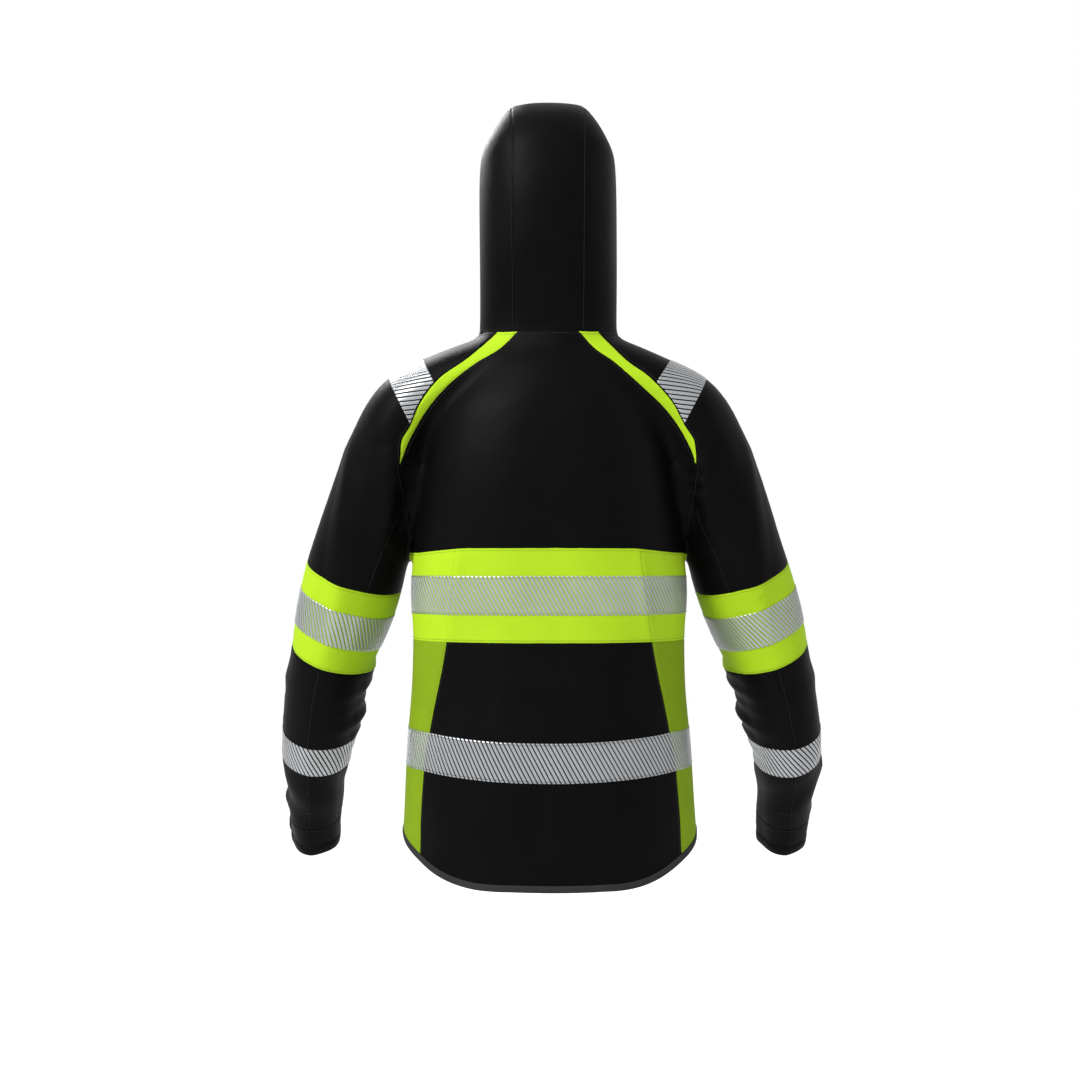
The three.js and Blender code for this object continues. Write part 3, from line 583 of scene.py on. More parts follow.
skin.groove(upper_seam, lambda p: arm_back(p) & (head_cut(p) > -25) & (band_from(p) < 0), depth=0.5)
skin.groove(forearm_seam, lambda p: arm_back(p) & (band_to(p) > 0) & (cuff_to(p) < 0), depth=0.6)


def piece_names(p):
    """The name of the piece that each point belongs to, or an empty one where there is none."""
    side = np.where(p[:, 0] > 0, "_left", "_right")
    arm, high = is_arm(p), neck(p) >= 0
    behind, front = p[:, 1] > 0, p[:, 1] <= 0
    body = ~arm & ~high
    conditions = [
        (arm & (head_cut(p) < 0), "sleeve_head", True),
        (arm & (band_from(p) < 0), "upper_sleeve", True),
        (arm & (band_to(p) < 0), "sleeve_band", True),
        (arm & (elbow_cut(p) < 0), "elbow_section", True),
        (arm & (cuff_from(p) < 0), "lower_sleeve", True),
        (arm & (cuff_to(p) < 0), "cuff", True),
        (arm, "", False),
        (front & (p[:, 2] < COLLAR_TOP + 20) & (zip_side(p) < 0), "", False),
        (high & (face(p) > 0), "", False),
        (high & (p[:, 2] < HOOD_FOLD), "hood_neck", False),
        (high & (hood_seam(p) < 0), "hood_centre", False),
        (high, "hood_side", True),
        (hem(p) < 0, "", False),
        (body & (band_top(p) > 0) & behind & (raglan_in(p) < 0), "back_yoke", False),
        (body & (p[:, 2] > STRIP_END) & behind, "raglan_strip", True),
        (body & (band_top(p) > 0) & behind, "back_yoke", False),
        (body & (band_top(p) > 0), "front_yoke", True),
        (body & (p[:, 2] > BAND_BOTTOM) & (princess(p) > 0), "chest_band_side", True),
        (body & (p[:, 2] > BAND_BOTTOM) & behind, "chest_band_back", False),
        (body & (p[:, 2] > BAND_BOTTOM), "chest_band_front", True),
        (body & (princess(p) > 0), "side_panel", True),
        (body & behind, "waist_back", False),
        (body & (pocket(p) < 0), "", False),
        (body, "waist_front", True),
    ]
    names = np.full(len(p), "", dtype="<U32")
    left = np.ones(len(p), bool)
    for which, name, sided in conditions:
        hit = left & which
        names[hit] = np.char.add(name, side[hit]) if sided else name
        left &= ~hit
    return names


# ---- Materials ----
def node_material(name, color, roughness, gloss, metallic=0.0, weave=0.0, mottle=0.06, glow=0.0):
    """Fabric or coating with woven relief and slight unevenness of colour, all from object coordinates."""
    material = bpy.data.materials.new(name)
    material.use_nodes = True
    nodes, links = material.node_tree.nodes, material.node_tree.links
    shader = nodes["Principled BSDF"]
    shader.inputs["Roughness"].default_value = roughness
    shader.inputs["Metallic"].default_value = metallic
    shader.inputs["Specular IOR Level"].default_value = gloss
    place = nodes.new("ShaderNodeTexCoord")
    noise = nodes.new("ShaderNodeTexNoise")
    noise.inputs["Scale"].default_value = 26
    noise.inputs["Detail"].default_value = 5
    links.new(place.outputs["Object"], noise.inputs["Vector"])
    ramp = nodes.new("ShaderNodeValToRGB")
    ramp.color_ramp.elements[0].position, ramp.color_ramp.elements[1].position = 0.3, 0.7
    for element, factor in zip(ramp.color_ramp.elements, (1 - mottle, 1 + mottle)):
        element.color = tuple(min(c * factor, 1) for c in color) + (1,)
    links.new(noise.outputs["Fac"], ramp.inputs["Fac"])
    links.new(ramp.outputs["Color"], shader.inputs["Base Color"])
    if glow:
        links.new(ramp.outputs["Color"], shader.inputs["Emission Color"])
        shader.inputs["Emission Strength"].default_value = glow
    if weave:
        threads = []
        for axis in ("X", "Z"):
            wave = nodes.new("ShaderNodeTexWave")
            wave.bands_direction = axis
            wave.inputs["Scale"].default_value = 220
            wave.inputs["Distortion"].default_value = 1.5
            wave.inputs["Detail"].default_value = 1
            links.new(place.outputs["Object"], wave.inputs["Vector"])
            threads.append(wave)
        cross = nodes.new("ShaderNodeMath")
        cross.operation = "MULTIPLY"
        links.new(threads[0].outputs["Fac"], cross.inputs[0])
        links.new(threads[1].outputs["Fac"], cross.inputs[1])
        relief = nodes.new("ShaderNodeBump")
        relief.inputs["Strength"].default_value = weave
        relief.inputs["Distance"].default_value = 0.0003
        links.new(cross.outputs["Value"], relief.inputs["Height"])
        links.new(relief.outputs["Normal"], shader.inputs["Normal"])
    return material


BLACK = node_material("shell_black", (0.0013, 0.0013, 0.0015), 0.5, gloss=0.032, weave=0.3, mottle=0.15)
YELLOW = node_material("band_yellow", (0.238, 0.373, 0.009), 0.7, gloss=0.06, weave=0.25, mottle=0.03)
SIDE_YELLOW = node_material("side_yellow", (0.120, 0.190, 0.005), 0.75, gloss=0.06, weave=0.25, mottle=0.04)
SILVER = node_material("tape_silver", (0.255, 0.263, 0.272), 0.36, gloss=0.4, metallic=0.6, mottle=0.04)
BINDING_GREY = node_material("binding_grey", (0.014, 0.014, 0.015), 0.8, gloss=0.15, weave=0.5, mottle=0.15)
THREAD = node_material("thread_dark", (0.012, 0.012, 0.012), 0.7, gloss=0.2, mottle=0.1)
THREAD_YELLOW = node_material("thread_yellow", (0.16, 0.30, 0.008), 0.7, gloss=0.2, mottle=0.1)
ZIP = node_material("zip_black", (0.008, 0.008, 0.009), 0.38, gloss=0.4, mottle=0.1)
ZIP_TAPE = node_material("zip_tape", (0.009, 0.009, 0.010), 0.8, gloss=0.15, weave=0.6, mottle=0.1)
METAL = node_material("slider_metal", (0.05, 0.051, 0.055), 0.3, gloss=0.5, metallic=0.8, mottle=0.1)

LOOK = {
    "raglan_strip": YELLOW, "chest_band_back": YELLOW, "chest_band_side": YELLOW,
    "chest_band_front": YELLOW, "sleeve_band": YELLOW, "side_panel": SIDE_YELLOW,
}
node_body = {n: o["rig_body"] for n, o in frame["nodes"].items()}


def stem(name):
    return name.removesuffix("_left").removesuffix("_right")


tab_bend = {}  # two points on each cuff tab's middle line near its sewn end, on the left side


def hang(obj, node):
    """Put a piece on its node's body, except a piece that crosses a joint, whose transform is only baked in
    place.
    """
    side = "left" if node.endswith("_left") else "right"
    bends = {
        "upper_sleeve": ("torso", f"upper_sleeve_{side}",
                         head_point + 5 * head_along, band_point - (BAND_HALF + 5) * band_along),
        "elbow_section": (f"upper_sleeve_{side}", f"forearm_{side}",
                          band_point + (BAND_HALF + 7) * band_along, elbow_point - 7 * elbow_along),
        "hood_neck": ("torso", "hood", np.zeros(3), np.array([0, 0, HOOD_FOLD])),
        "hood_binding": ("torso", "hood", np.zeros(3), np.array([0, 0, HOOD_FOLD])),
    }
    if stem(node) == "cuff_tab":
        bends["cuff_tab"] = (f"forearm_{side}", f"cuff_tab_{side}", *tab_bend[side])
    if stem(node) in bends:
        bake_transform(obj)
    else:
        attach(obj, node_body[node])


def finish_piece(obj, node, material, thickness=0.0, offset=-1.0):
    obj.data.materials.append(material)
    if thickness:
        solid = obj.modifiers.new("thickness", "SOLIDIFY")
        solid.thickness, solid.offset = thickness * 0.001, offset
        applied(obj)
    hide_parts(node)
    hang(obj, node)
    return obj


def shell(name, verts, out, shading, faces):
    """Cloth of even thickness under a surface, shaded as the whole coat is, so that no split shows."""
    n = len(verts)
    edges = sides_of(faces)
    rim = edges[~np.isin(edges @ [n, 1], edges @ [1, n])]
    walls = np.stack([rim[:, 1], rim[:, 0], rim[:, 0] + n, rim[:, 1] + n], -1)
    both = np.concatenate([faces, faces[:, ::-1] + n])
    obj = new_object(name, np.concatenate([verts, verts - out * CLOTH]), both.tolist() + walls.tolist())
    mesh = obj.data
    corner = np.empty(len(mesh.loops), np.int64)
    mesh.loops.foreach_get("vertex_index", corner)
    sides, flat = np.empty(len(mesh.polygons), np.int64), np.empty(len(mesh.polygons) * 3)
    mesh.polygons.foreach_get("loop_total", sides)
    mesh.polygons.foreach_get("normal", flat)
    wall = np.repeat(sides == 4, sides)[:, None]
    soft = np.concatenate([shading, -shading])[corner]
    facing = np.where(wall, np.repeat(flat.reshape(-1, 3), sides, 0), soft)
    mesh.normals_split_custom_set(facing.tolist())
    return obj


names = piece_names(skin.middles())
skin_out = unit(skin.normal)
skin_shading = vertex_normals(skin.worn, skin.tris)
for node in sorted(set(names) - {""}):
    picked = skin.tris[names == node]
    used, index = np.unique(picked, return_inverse=True)
    obj = shell(f"cloth_{node}", skin.worn[used], skin_out[used], skin_shading[used], index.reshape(-1, 3))
    a, b, c = (skin.rest[picked[:, k]] for k in range(3))
    area = np.linalg.norm(np.cross(b - a, c - a), axis=1).sum() / 2e6
    finish_piece(obj, node, LOOK.get(stem(node), BLACK))
    length = max(np.ptp(skin.rest[used], axis=0)[2], 40) / 1000


# ---- What lies on the cloth: a rest point is carried to the worn surface ----
tree = BVHTree.FromPolygons(rest.tolist(), tris.tolist())


def cloth_at(flat):
    """Worn points and outward directions over rest points."""
    index = np.array([tree.find_nearest(Vector(p))[2] for p in flat.tolist()])
    corner = tris[index]
    a, b, c = (rest[corner[:, k]] for k in range(3))
    ab, ac, ap = b - a, c - a, flat - a
    d00, d01, d11 = (ab * ab).sum(1), (ab * ac).sum(1), (ac * ac).sum(1)
    d20, d21 = (ap * ab).sum(1), (ap * ac).sum(1)
    scale = d00 * d11 - d01 * d01
    v = np.clip((d11 * d20 - d01 * d21) / scale, 0, 1)
    w = np.clip((d00 * d21 - d01 * d20) / scale, 0, 1)
    u = np.clip(1 - v - w, 0, 1)
    share = (np.stack([u, v, w], -1) / (u + v + w)[:, None])[..., None]
    return (worn[corner] * share).sum(1), unit((worn_normal[corner] * share).sum(1))


def on_cloth(points, lift):
    """Worn points over rest points, lifted off the fabric's outer face."""
    points = np.asarray(points, float)
    where, out = cloth_at(points.reshape(-1, 3))
    lift = np.broadcast_to(lift, points.shape[:-1]).reshape(-1, 1)
    return (where + out * lift).reshape(points.shape)


def ribbon_faces(rows, columns):
    corners = [r * columns + c for r in range(rows - 1) for c in range(columns - 1)]
    return [(k, k + 1, k + 1 + columns, k + columns) for k in corners]


def stripes(surface, length, height, keep, lift=0.45, slant=STRIPE_SLANT, rows=20, closed=True):
    """Slanting bars of film over a tape: surface(u, v) is a rest point, u along and v across it."""
    verts, faces, columns = [], [], 5
    count = int(round(length / STRIPE_PITCH))
    pitch = length / count
    first = -int(abs(slant) * height / pitch) - 2
    starts = range(count) if closed else range(first, count - first)
    v = np.linspace(-height / 2, height / 2, rows)
    for k in starts:
        u = (k * pitch + slant * v)[:, None] + np.linspace(0, pitch - STRIPE_GAP, columns)
        if not closed:
            u = np.clip(u, 0, length)
        points = surface(u % length if closed else u, np.repeat(v[:, None], columns, 1)).reshape(-1, 3)
        wide = np.repeat(np.ptp(u, axis=1) > 0.2, columns)
        good = keep(points) & wide
        base = len(verts) * rows * columns
        verts.append(points)
        faces += [[base + i for i in quad] for quad in ribbon_faces(rows, columns) if good[list(quad)].all()]
    used, index = np.unique(faces, return_inverse=True)
    return on_cloth(np.concatenate(verts)[used], lift), index.reshape(-1, 4).tolist()


def tape_rise(x, rise):
    """How far a tape round the body has risen at a place beside its middle."""
    return rise * np.clip(np.abs(x) / 165, 0, 1) ** 2


BODY_TAPES = (("chest_tape", BAND_MIDDLE, 0), ("lower_tape", LOWER_TAPE, LOWER_TAPE_RISE))
off_zip = lambda p: (p[:, 1] > 0) | (np.abs(p[:, 0]) > ZIP_HALF + 1.5)
for node, level, rise in BODY_TAPES:
    turns = np.linspace(0, 2 * np.pi, 721)
    ring = body_point(level, turns)
    reach = reach_of(ring)

    def surface(u, v):
        turn = np.interp(u, reach, turns)
        return body_point(level + v + tape_rise(body_point(level, turn)[..., 0], rise), turn)

    bars = stripes(surface, reach[-1], TAPE_HEIGHT, off_zip, slant=-STRIPE_SLANT)
    finish_piece(new_object(f"film_{node}", *bars), node, SILVER, 0.35)


def ring_surface(point, axis, up, height, spread, mirror):
    """A tape round an axis: rest points by distance round it and across it, from rays."""
    side = np.cross(axis, up)
    side /= np.linalg.norm(side)
    up = np.cross(side, axis)
    turns = np.linspace(spread[0], spread[1], 241)
    rows = np.linspace(-height / 2, height / 2, 9)
    grid = np.empty((len(rows), len(turns), 3))
    for r, row in enumerate(rows):
        origin = Vector((point + row * axis) * mirror)
        for k, turn in enumerate(turns):
            ray = (math.cos(turn) * up + math.sin(turn) * side) * mirror
            grid[r, k] = tree.ray_cast(origin, Vector(ray))[0]
    reach = reach_of(grid[len(rows) // 2])

    def surface(u, v):
        k = np.interp(u, reach, np.arange(len(turns)))
        r = np.interp(v, rows, np.arange(len(rows)))
        k0, r0 = np.minimum(k.astype(int), len(turns) - 2), np.minimum(r.astype(int), len(rows) - 2)
        tk, tr = (k - k0)[..., None], (r - r0)[..., None]
        low = grid[r0, k0] * (1 - tk) + grid[r0, k0 + 1] * tk
        high = grid[r0 + 1, k0] * (1 - tk) + grid[r0 + 1, k0 + 1] * tk
        return low * (1 - tr) + high * tr

    return surface, reach[-1]


def facing_out(verts, faces):
    """The faces, turned over if they look into the coat."""
    a, b, c = (verts[[f[k] for f in faces]] for k in range(3))
    out = cloth_at(a)[1]
    return faces if (np.cross(b - a, c - a) * out).sum() > 0 else [f[::-1] for f in faces]


def film(name, node, verts, faces):
    finish_piece(new_object(name, verts, facing_out(verts, faces)), node, SILVER, 0.3, offset=1.0)


anywhere = lambda p: np.ones(len(p), bool)
on_head = lambda p: is_arm(p) & (raglan_out(p) > 1.2) & (neck(p) < -1)
inside, all_round = np.array([-1.0, 0, 0]), (0, 2 * math.pi)
over_shoulder = (-SHOULDER_TAPE_REACH, SHOULDER_TAPE_REACH)
tape_axis = SHOULDER_TAPE_UP[[2, 1, 0]] * [1, 1, -1]
tape_point = np.array([176.0, 0, -66.0])  # inside the shoulder, where the rays start
tape_point += tape_axis * (SHOULDER_TAPE_AT - tape_point @ tape_axis)
SIDES = (("left", np.array([1, 1, 1])), ("right", np.array([-1, 1, 1])))
for side, mirror in SIDES:
    for node, point, axis, height in (
        (f"sleeve_band_tape_{side}", band_point, band_along, TAPE_HEIGHT),
        (f"forearm_tape_{side}", fore_point, fore_along, FOREARM_TAPE),
    ):
        surface, length = ring_surface(point, axis, inside, height, all_round, mirror)
        bars = stripes(surface, length, height, anywhere, slant=-STRIPE_SLANT * mirror[0])
        film(f"film_{node}", node, *bars)
    surface, length = ring_surface(
        tape_point, tape_axis, SHOULDER_TAPE_UP, SHOULDER_TAPE, over_shoulder, mirror)
    bars = stripes(surface, length, SHOULDER_TAPE, on_head, slant=0.35, rows=60, closed=False)
    film(f"film_shoulder_tape_{side}", f"shoulder_tape_{side}", *bars)


# ---- Edges: bindings and hems ----
kept = skin.tris[names != ""]


def edge_paths(field, where):
    """Open edges of the cloth along a field's zero line, as ordered rest points."""
    unique, count = np.unique(np.sort(sides_of(kept), axis=1), axis=0, return_counts=True)
    open_edges = unique[count == 1]
    near = (np.abs(field(skin.rest)) < 0.4)[open_edges].all(1)
    open_edges = open_edges[near & where(skin.rest[open_edges].mean(1))]
    return chained(open_edges.tolist(), skin.rest)


def chained(edges, points):
    """Orders edges into paths of points, the longest first."""
    nextto = {}
    for a, b in edges:
        nextto.setdefault(a, []).append(b)
        nextto.setdefault(b, []).append(a)
    paths, seen = [], set()
    ends = sorted(n for n in nextto if len(nextto[n]) == 1)
    for start in ends + sorted(nextto):
        if start in seen:
            continue
        path, here = [start], start
        seen.add(start)
        while True:
            ahead = [n for n in nextto[here] if n not in seen]
            if not ahead:
                break
            here = ahead[0]
            seen.add(here)
            path.append(here)
        if start in nextto[here] and len(path) > 2:
            path.append(start)
        paths.append(points[path])
    return sorted((p for p in paths if len(p) > 2), key=len, reverse=True)


def even(path, step):
    """A path resampled at equal steps, and whether it closes on itself."""
    reach = reach_of(path)
    count = max(int(round(reach[-1] / step)), 2)
    at = np.linspace(0, reach[-1], count + 1)
    return along(at, reach, path), np.linalg.norm(path[0] - path[-1]) < 1e-6


def inwards(field, points, sign):
    """Directions along the cloth from an edge into the fabric."""
    slope = np.stack([field(points + d) - field(points - d) for d in np.eye(3)], -1) * sign
    out = cloth_at(points)[1]
    return unit(slope - (slope * out).sum(1)[:, None] * out)


def swept(rings, closed):
    """Faces of a tube of rings of points, closed or with its ends filled."""
    n, k = rings.shape[:2]
    count = n - 1 if closed else n
    index = lambda r, c: (r % count) * k + c % k
    faces = [(index(r, c), index(r, c + 1), index(r + 1, c + 1), index(r + 1, c))
             for r in range(n - 1) for c in range(k)]
    if not closed:
        faces += [tuple(range(k))[::-1], tuple((n - 1) * k + c for c in range(k))]
    return rings[:count].reshape(-1, 3), faces


def edging(name, node, material, path, field, sign, profile, step=4.0):
    """A strip folded over an edge: the profile is (distance into the cloth, lift) round the fold."""
    points, closed = even(path, step)
    into = inwards(field, points, sign)
    rings = np.stack([on_cloth(points + d * into, lift) for d, lift in profile], 1)
    obj = new_object(name, *swept(rings, closed))
    outward(obj)
    finish_piece(obj, node, material)


def outward(obj):
    """Make a closed mesh's faces look outwards."""
    bm = bmesh.new()
    bm.from_mesh(obj.data)
    bmesh.ops.recalc_face_normals(bm, faces=bm.faces)
    bm.to_mesh(obj.data)
    bm.free()


def fold_profile(width, bulge=0.9):
    """Round a cloth's edge: outer face, rounded fold, inner face, inside."""
    half, near, back = width * 0.5, width - 0.5, -CLOTH - 0.9
    return [(width, 0.15), (near, bulge), (half, bulge + 0.15), (0.6, bulge), (-0.9, bulge * 0.4),
            (-1.3, -CLOTH / 2), (-0.9, -CLOTH - 0.5), (0.6, back), (half, back), (near, back),
            (width, -CLOTH + 0.1), (half, -CLOTH / 2)]


low_down = lambda p: p[:, 2] < -600
path = edge_paths(hem, low_down)[0]
edging("binding_hem", "hem_binding", BINDING_GREY, path, hem, 1, fold_profile(BINDING))
path = edge_paths(face, lambda p: p[:, 2] > COLLAR_TOP - 1)[0]
edging("binding_hood", "hood_binding", BINDING_GREY, path, face, -1, fold_profile(HOOD_BINDING, 0.8))
for side, mirror in SIDES:
    this_side = lambda p: p[:, 0] * mirror[0] > 0
    path = edge_paths(cuff_to, lambda p: this_side(p) & low_down(p))[0]
    edging(f"hem_cuff_{side}", f"cuff_{side}", BLACK, path, cuff_to, -1, fold_profile(CUFF_HEM, 0.5))
    path = edge_paths(pocket, lambda p: this_side(p) & (np.abs(np.abs(p[:, 0]) - 110) < 50))[0]
    profile = fold_profile(WELT, 0.6)
    edging(f"welt_pocket_{side}", f"waist_front_{side}", BLACK, path, pocket, 1, profile, step=2.0)


# ---- Stitching ----
def field_paths(field, where):
    """Lines on the rest surface where a field is zero, as ordered points."""
    f = field(rest)
    f = np.where(np.abs(f) < 1e-4, 1e-4, f)
    ft = f[tris]
    hit = (ft.min(1) < 0) & (ft.max(1) > 0) & where(rest[tris].mean(1))
    points, ids, segments = [], {}, []
    for tri in tris[hit].tolist():
        ends = []
        for a, b in ((tri[0], tri[1]), (tri[1], tri[2]), (tri[2], tri[0])):
            if f[a] * f[b] < 0:
                key = (min(a, b), max(a, b))
                if key not in ids:
                    t = f[a] / (f[a] - f[b])
                    ids[key] = len(points)
                    points.append(rest[a] * (1 - t) + rest[b] * t)
                ends.append(ids[key])
        segments.append(ends)
    return chained(segments, np.array(points)) if segments else []


def stitch_points(path, start):
    """Both ends and the middle of each stitch along a path."""
    reach = reach_of(path)
    starts = np.arange(start, reach[-1] - STITCH, STITCH + STITCH_GAP)
    return along(np.stack([starts, starts + STITCH / 2, starts + STITCH], 1), reach, path)


dashes = {}


def stitch(field, where, raised=0.1, shortest=20):
    """Rows of stitches along a field's zero line, kept for the pieces that they lie on."""
    for path in field_paths(field, where):
        if reach_of(path)[-1] < shortest:
            continue
        points = stitch_points(path, STITCH_GAP)
        on_piece = piece_names(points[:, 1])
        for node in set(on_piece) - {""}:
            dashes.setdefault(node, []).append((points[on_piece == node], raised))


on_front = lambda p: on_body(p) & (p[:, 1] < 0)
yoke_seam = lambda p: raglan_part(p) & (p[:, 2] < 0)
stitch(lambda p: raglan_out(p) - 3.2, yoke_seam)
stitch(lambda p: raglan_in(p) + 3.2, lambda p: yoke_seam(p) & (p[:, 1] > 0) & (p[:, 2] > STRIP_END + 11))
stitch(lambda p: neck(p) + 3.2, round_neck)
stitch(lambda p: band_top(p) + 2.8, on_body)
stitch(lambda p: p[:, 2] - BAND_BOTTOM - 2.8, on_body)
for beside in (-2.8, 2.8):
    stitch(lambda p: princess(p) - beside, lambda p: on_body(p) & (p[:, 2] < BAND_BOTTOM) & (hem(p) > 9))
stitch(lambda p: hem(p) - 6.6, low_down)
for up in (2.2 - TAPE_HEIGHT / 2, TAPE_HEIGHT / 2 - 2.2):
    for _, level, rise in BODY_TAPES:
        stitch(lambda p: p[:, 2] - level - tape_rise(p[:, 0], rise) - up, on_body, raised=0.75)
for edge, beside in ((band_from, 2.8), (band_to, -2.8), (cuff_from, 2.6), (cuff_to, 0.4 - CUFF_HEM)):
    stitch(lambda p: edge(p) - beside, on_sleeve)
stitch(lambda p: hood_seam(p) - 1, lambda p: on_hood(p) & (face(p) < -12))
stitch(lambda p: upper_seam(p) - 1, lambda p: arm_back(p) & (head_cut(p) > -25) & (band_from(p) < -3))
stitch(lambda p: forearm_seam(p) - 1, lambda p: arm_back(p) & (band_to(p) > 3) & (cuff_from(p) < -3))
stitch(lambda p: face(p) + 9.4, lambda p: on_hood(p) & (p[:, 1] < 0))
stitch(lambda p: zip_side(p) - 5.5, lambda p: on_front(p) & (hem(p) > 9) & (np.abs(p[:, 0]) < 30))
stitch(lambda p: pocket(p) - 5.0, lambda p: on_front(p) & (np.abs(np.abs(p[:, 0]) - POCKET_X) < 30))

for node, groups in sorted(dashes.items()):
    points = np.concatenate([chosen for chosen, _ in groups])
    raised = np.concatenate([np.full(len(chosen), lift) for chosen, lift in groups])[:, None, None]
    where, out = cloth_at(points.reshape(-1, 3))
    where, out = where.reshape(points.shape), out.reshape(points.shape)
    run = where[:, 2] - where[:, 0]
    run /= np.maximum(np.linalg.norm(run, axis=1), 1e-9)[:, None]
    across = np.cross(run, out[:, 1]) * 0.32
    low, high = where + out * raised, where + out * (raised + 0.42)
    high[:, [0, 2]] -= 0.28 * out[:, [0, 2]]
    rings = np.stack([low - across[:, None], high, low + across[:, None]], 2)
    obj = new_object(f"stitch_{node}", *gathered([swept(one, False) for one in rings]))
    outward(obj)
    finish_piece(obj, node, THREAD_YELLOW if stem(node) in LOOK else THREAD)


# ---- Zips ----
class Place:
    """A frame along a zip: across, out of the coat, up the chain."""

    def __init__(self, start, across, out, up):
        self.start, self.basis = np.array(start, float), np.array([across, out, up], float)

    def __call__(self, points):
        return self.start + np.asarray(points, float) @ self.basis


def taken(bm):
    """A bmesh's vertices and faces, as arrays."""
    bm.verts.index_update()
    verts, faces = np.array([v.co[:] for v in bm.verts]), [tuple(v.index for v in f.verts) for f in bm.faces]
    bm.free()
    return verts, faces


def block(low, high, bevel, segments=2):
    """A box with rounded edges, as vertices and faces."""
    bm = bmesh.new()
    bmesh.ops.create_cube(bm, size=1.0)
    low, high = np.array(low, float), np.array(high, float)
    for v in bm.verts:
        v.co = Vector((np.array(v.co) + 0.5) * (high - low) + low)
    bmesh.ops.bevel(bm, geom=bm.edges[:], offset=bevel, segments=segments, affect="EDGES", profile=0.6)
    return taken(bm)


def plate(outline, y0, y1, bevel, hole=None):
    """A flat plate with a rounded outline in x and z, and a hole if one is given."""
    bm = bmesh.new()
    edges = []
    for loop in [outline] + ([hole] if hole else []):
        ring = [bm.verts.new((x, y0, z)) for x, z in loop]
        edges += [bm.edges.new((ring[i], ring[(i + 1) % len(ring)])) for i in range(len(ring))]
    bmesh.ops.triangle_fill(bm, edges=edges, use_beauty=True)
    made = bmesh.ops.extrude_face_region(bm, geom=bm.faces[:])
    for v in (g for g in made["geom"] if isinstance(g, bmesh.types.BMVert)):
        v.co.y = y1
    bmesh.ops.recalc_face_normals(bm, faces=bm.faces)
    sharp = [e for e in bm.edges if len(e.link_faces) == 2 and e.calc_face_angle(0) > 1.2]
    bmesh.ops.bevel(bm, geom=sharp, offset=bevel, segments=2, affect="EDGES", profile=0.6)
    return taken(bm)


def rounded(x0, z0, x1, z1, r, steps=5):
    """A rounded rectangle's outline."""
    corners = [(x1 - r, z0 + r, -90), (x1 - r, z1 - r, 0), (x0 + r, z1 - r, 90), (x0 + r, z0 + r, 180)]
    turned = [(cx, cz, math.radians(a + 90 * k / steps)) for cx, cz, a in corners for k in range(steps + 1)]
    return [(cx + r * math.cos(a), cz + r * math.sin(a)) for cx, cz, a in turned]


def strap(path, width, thick, radius):
    """A rounded bar along a path in y and z, centred on x = 0."""
    path = np.array(path, float)
    run = unit(np.gradient(path, axis=0))
    side = np.stack([-run[:, 1], run[:, 0]], -1)
    section = rounded(-width / 2, -thick / 2, width / 2, thick / 2, radius, 3)
    return swept(np.array([[(a, *(p + b * n)) for a, b in section] for p, n in zip(path, side)]), False)


def fitting(name, node, material, place, parts):
    verts, faces = gathered(parts)
    obj = new_object(name, place(verts), faces)
    outward(obj)
    finish_piece(obj, node, material)
    obj.data.set_sharp_from_angle(angle=math.radians(38))


def teeth(length, pitch, tooth, reach, y0, y1):
    """Interlocking rows of teeth down a chain, from z = 0 to -length."""
    shape = block((-reach, y0, -tooth / 2), (0.9, y1, tooth / 2), 0.28, 1)
    other = (shape[0] * [-1, 1, 1], shape[1])
    parts = []
    for k in range(int((length - tooth) / pitch)):
        parts.append((shape[0] - [0, 0, tooth / 2 + k * pitch], shape[1]))
        parts.append((other[0] - [0, 0, tooth / 2 + (k + 0.5) * pitch], other[1]))
    return parts


def cord_edges(length, x, y, radius):
    """The corded edges of the zip's two tapes, beside the teeth."""
    round_cord = [(radius * math.cos(a), radius * math.sin(a)) for a in np.arange(8) * math.pi / 4]
    return [swept(np.array([[(hand * x + a, y + b, z) for a, b in round_cord]
                            for z in np.linspace(0, -length, 60)]), False) for hand in (-1, 1)]


def slider_parts(size, face, foot, rise):
    """A zip slider: shield, cheeks and bridge, whose pull turns at a rise over the chain's face."""
    half, length, cheek = 5.4 * size, 15 * size, 3.5 * size
    shield = [(-half * 0.72, 0), (half * 0.72, 0), (half, -2.4 * size), (half * 0.92, -8 * size),
              (half * 0.8, -length + 1.2 * size), (half * 0.6, -length), (-half * 0.6, -length),
              (-half * 0.8, -length + 1.2 * size), (-half * 0.92, -8 * size), (-half, -2.4 * size)]
    parts = [plate(shield, face + 0.5, face + 2.3, 0.45)]
    for hand in (-1, 1):
        edges = sorted((hand * cheek, hand * (cheek + 1.1 * size)))
        parts.append(block((edges[0], foot, -length * 0.93), (edges[1], face + 1, -0.8 * size), 0.3))
    top, low, k = -1.5 * size, -11 * size, rise / 3.9
    arch = [(1.6, top - 0.6), (4.5, top - 0.9), (5.8, top - 1.9), (6.1, top - 3.4 * size),
            (6.1, low + 3.4 * size), (5.7, low + 1.9), (4.3, low + 0.9), (1.6, low + 0.7)]
    parts.append(strap([(face + k * y, z) for y, z in arch], 2.6, 1.1, radius=0.385))
    return parts


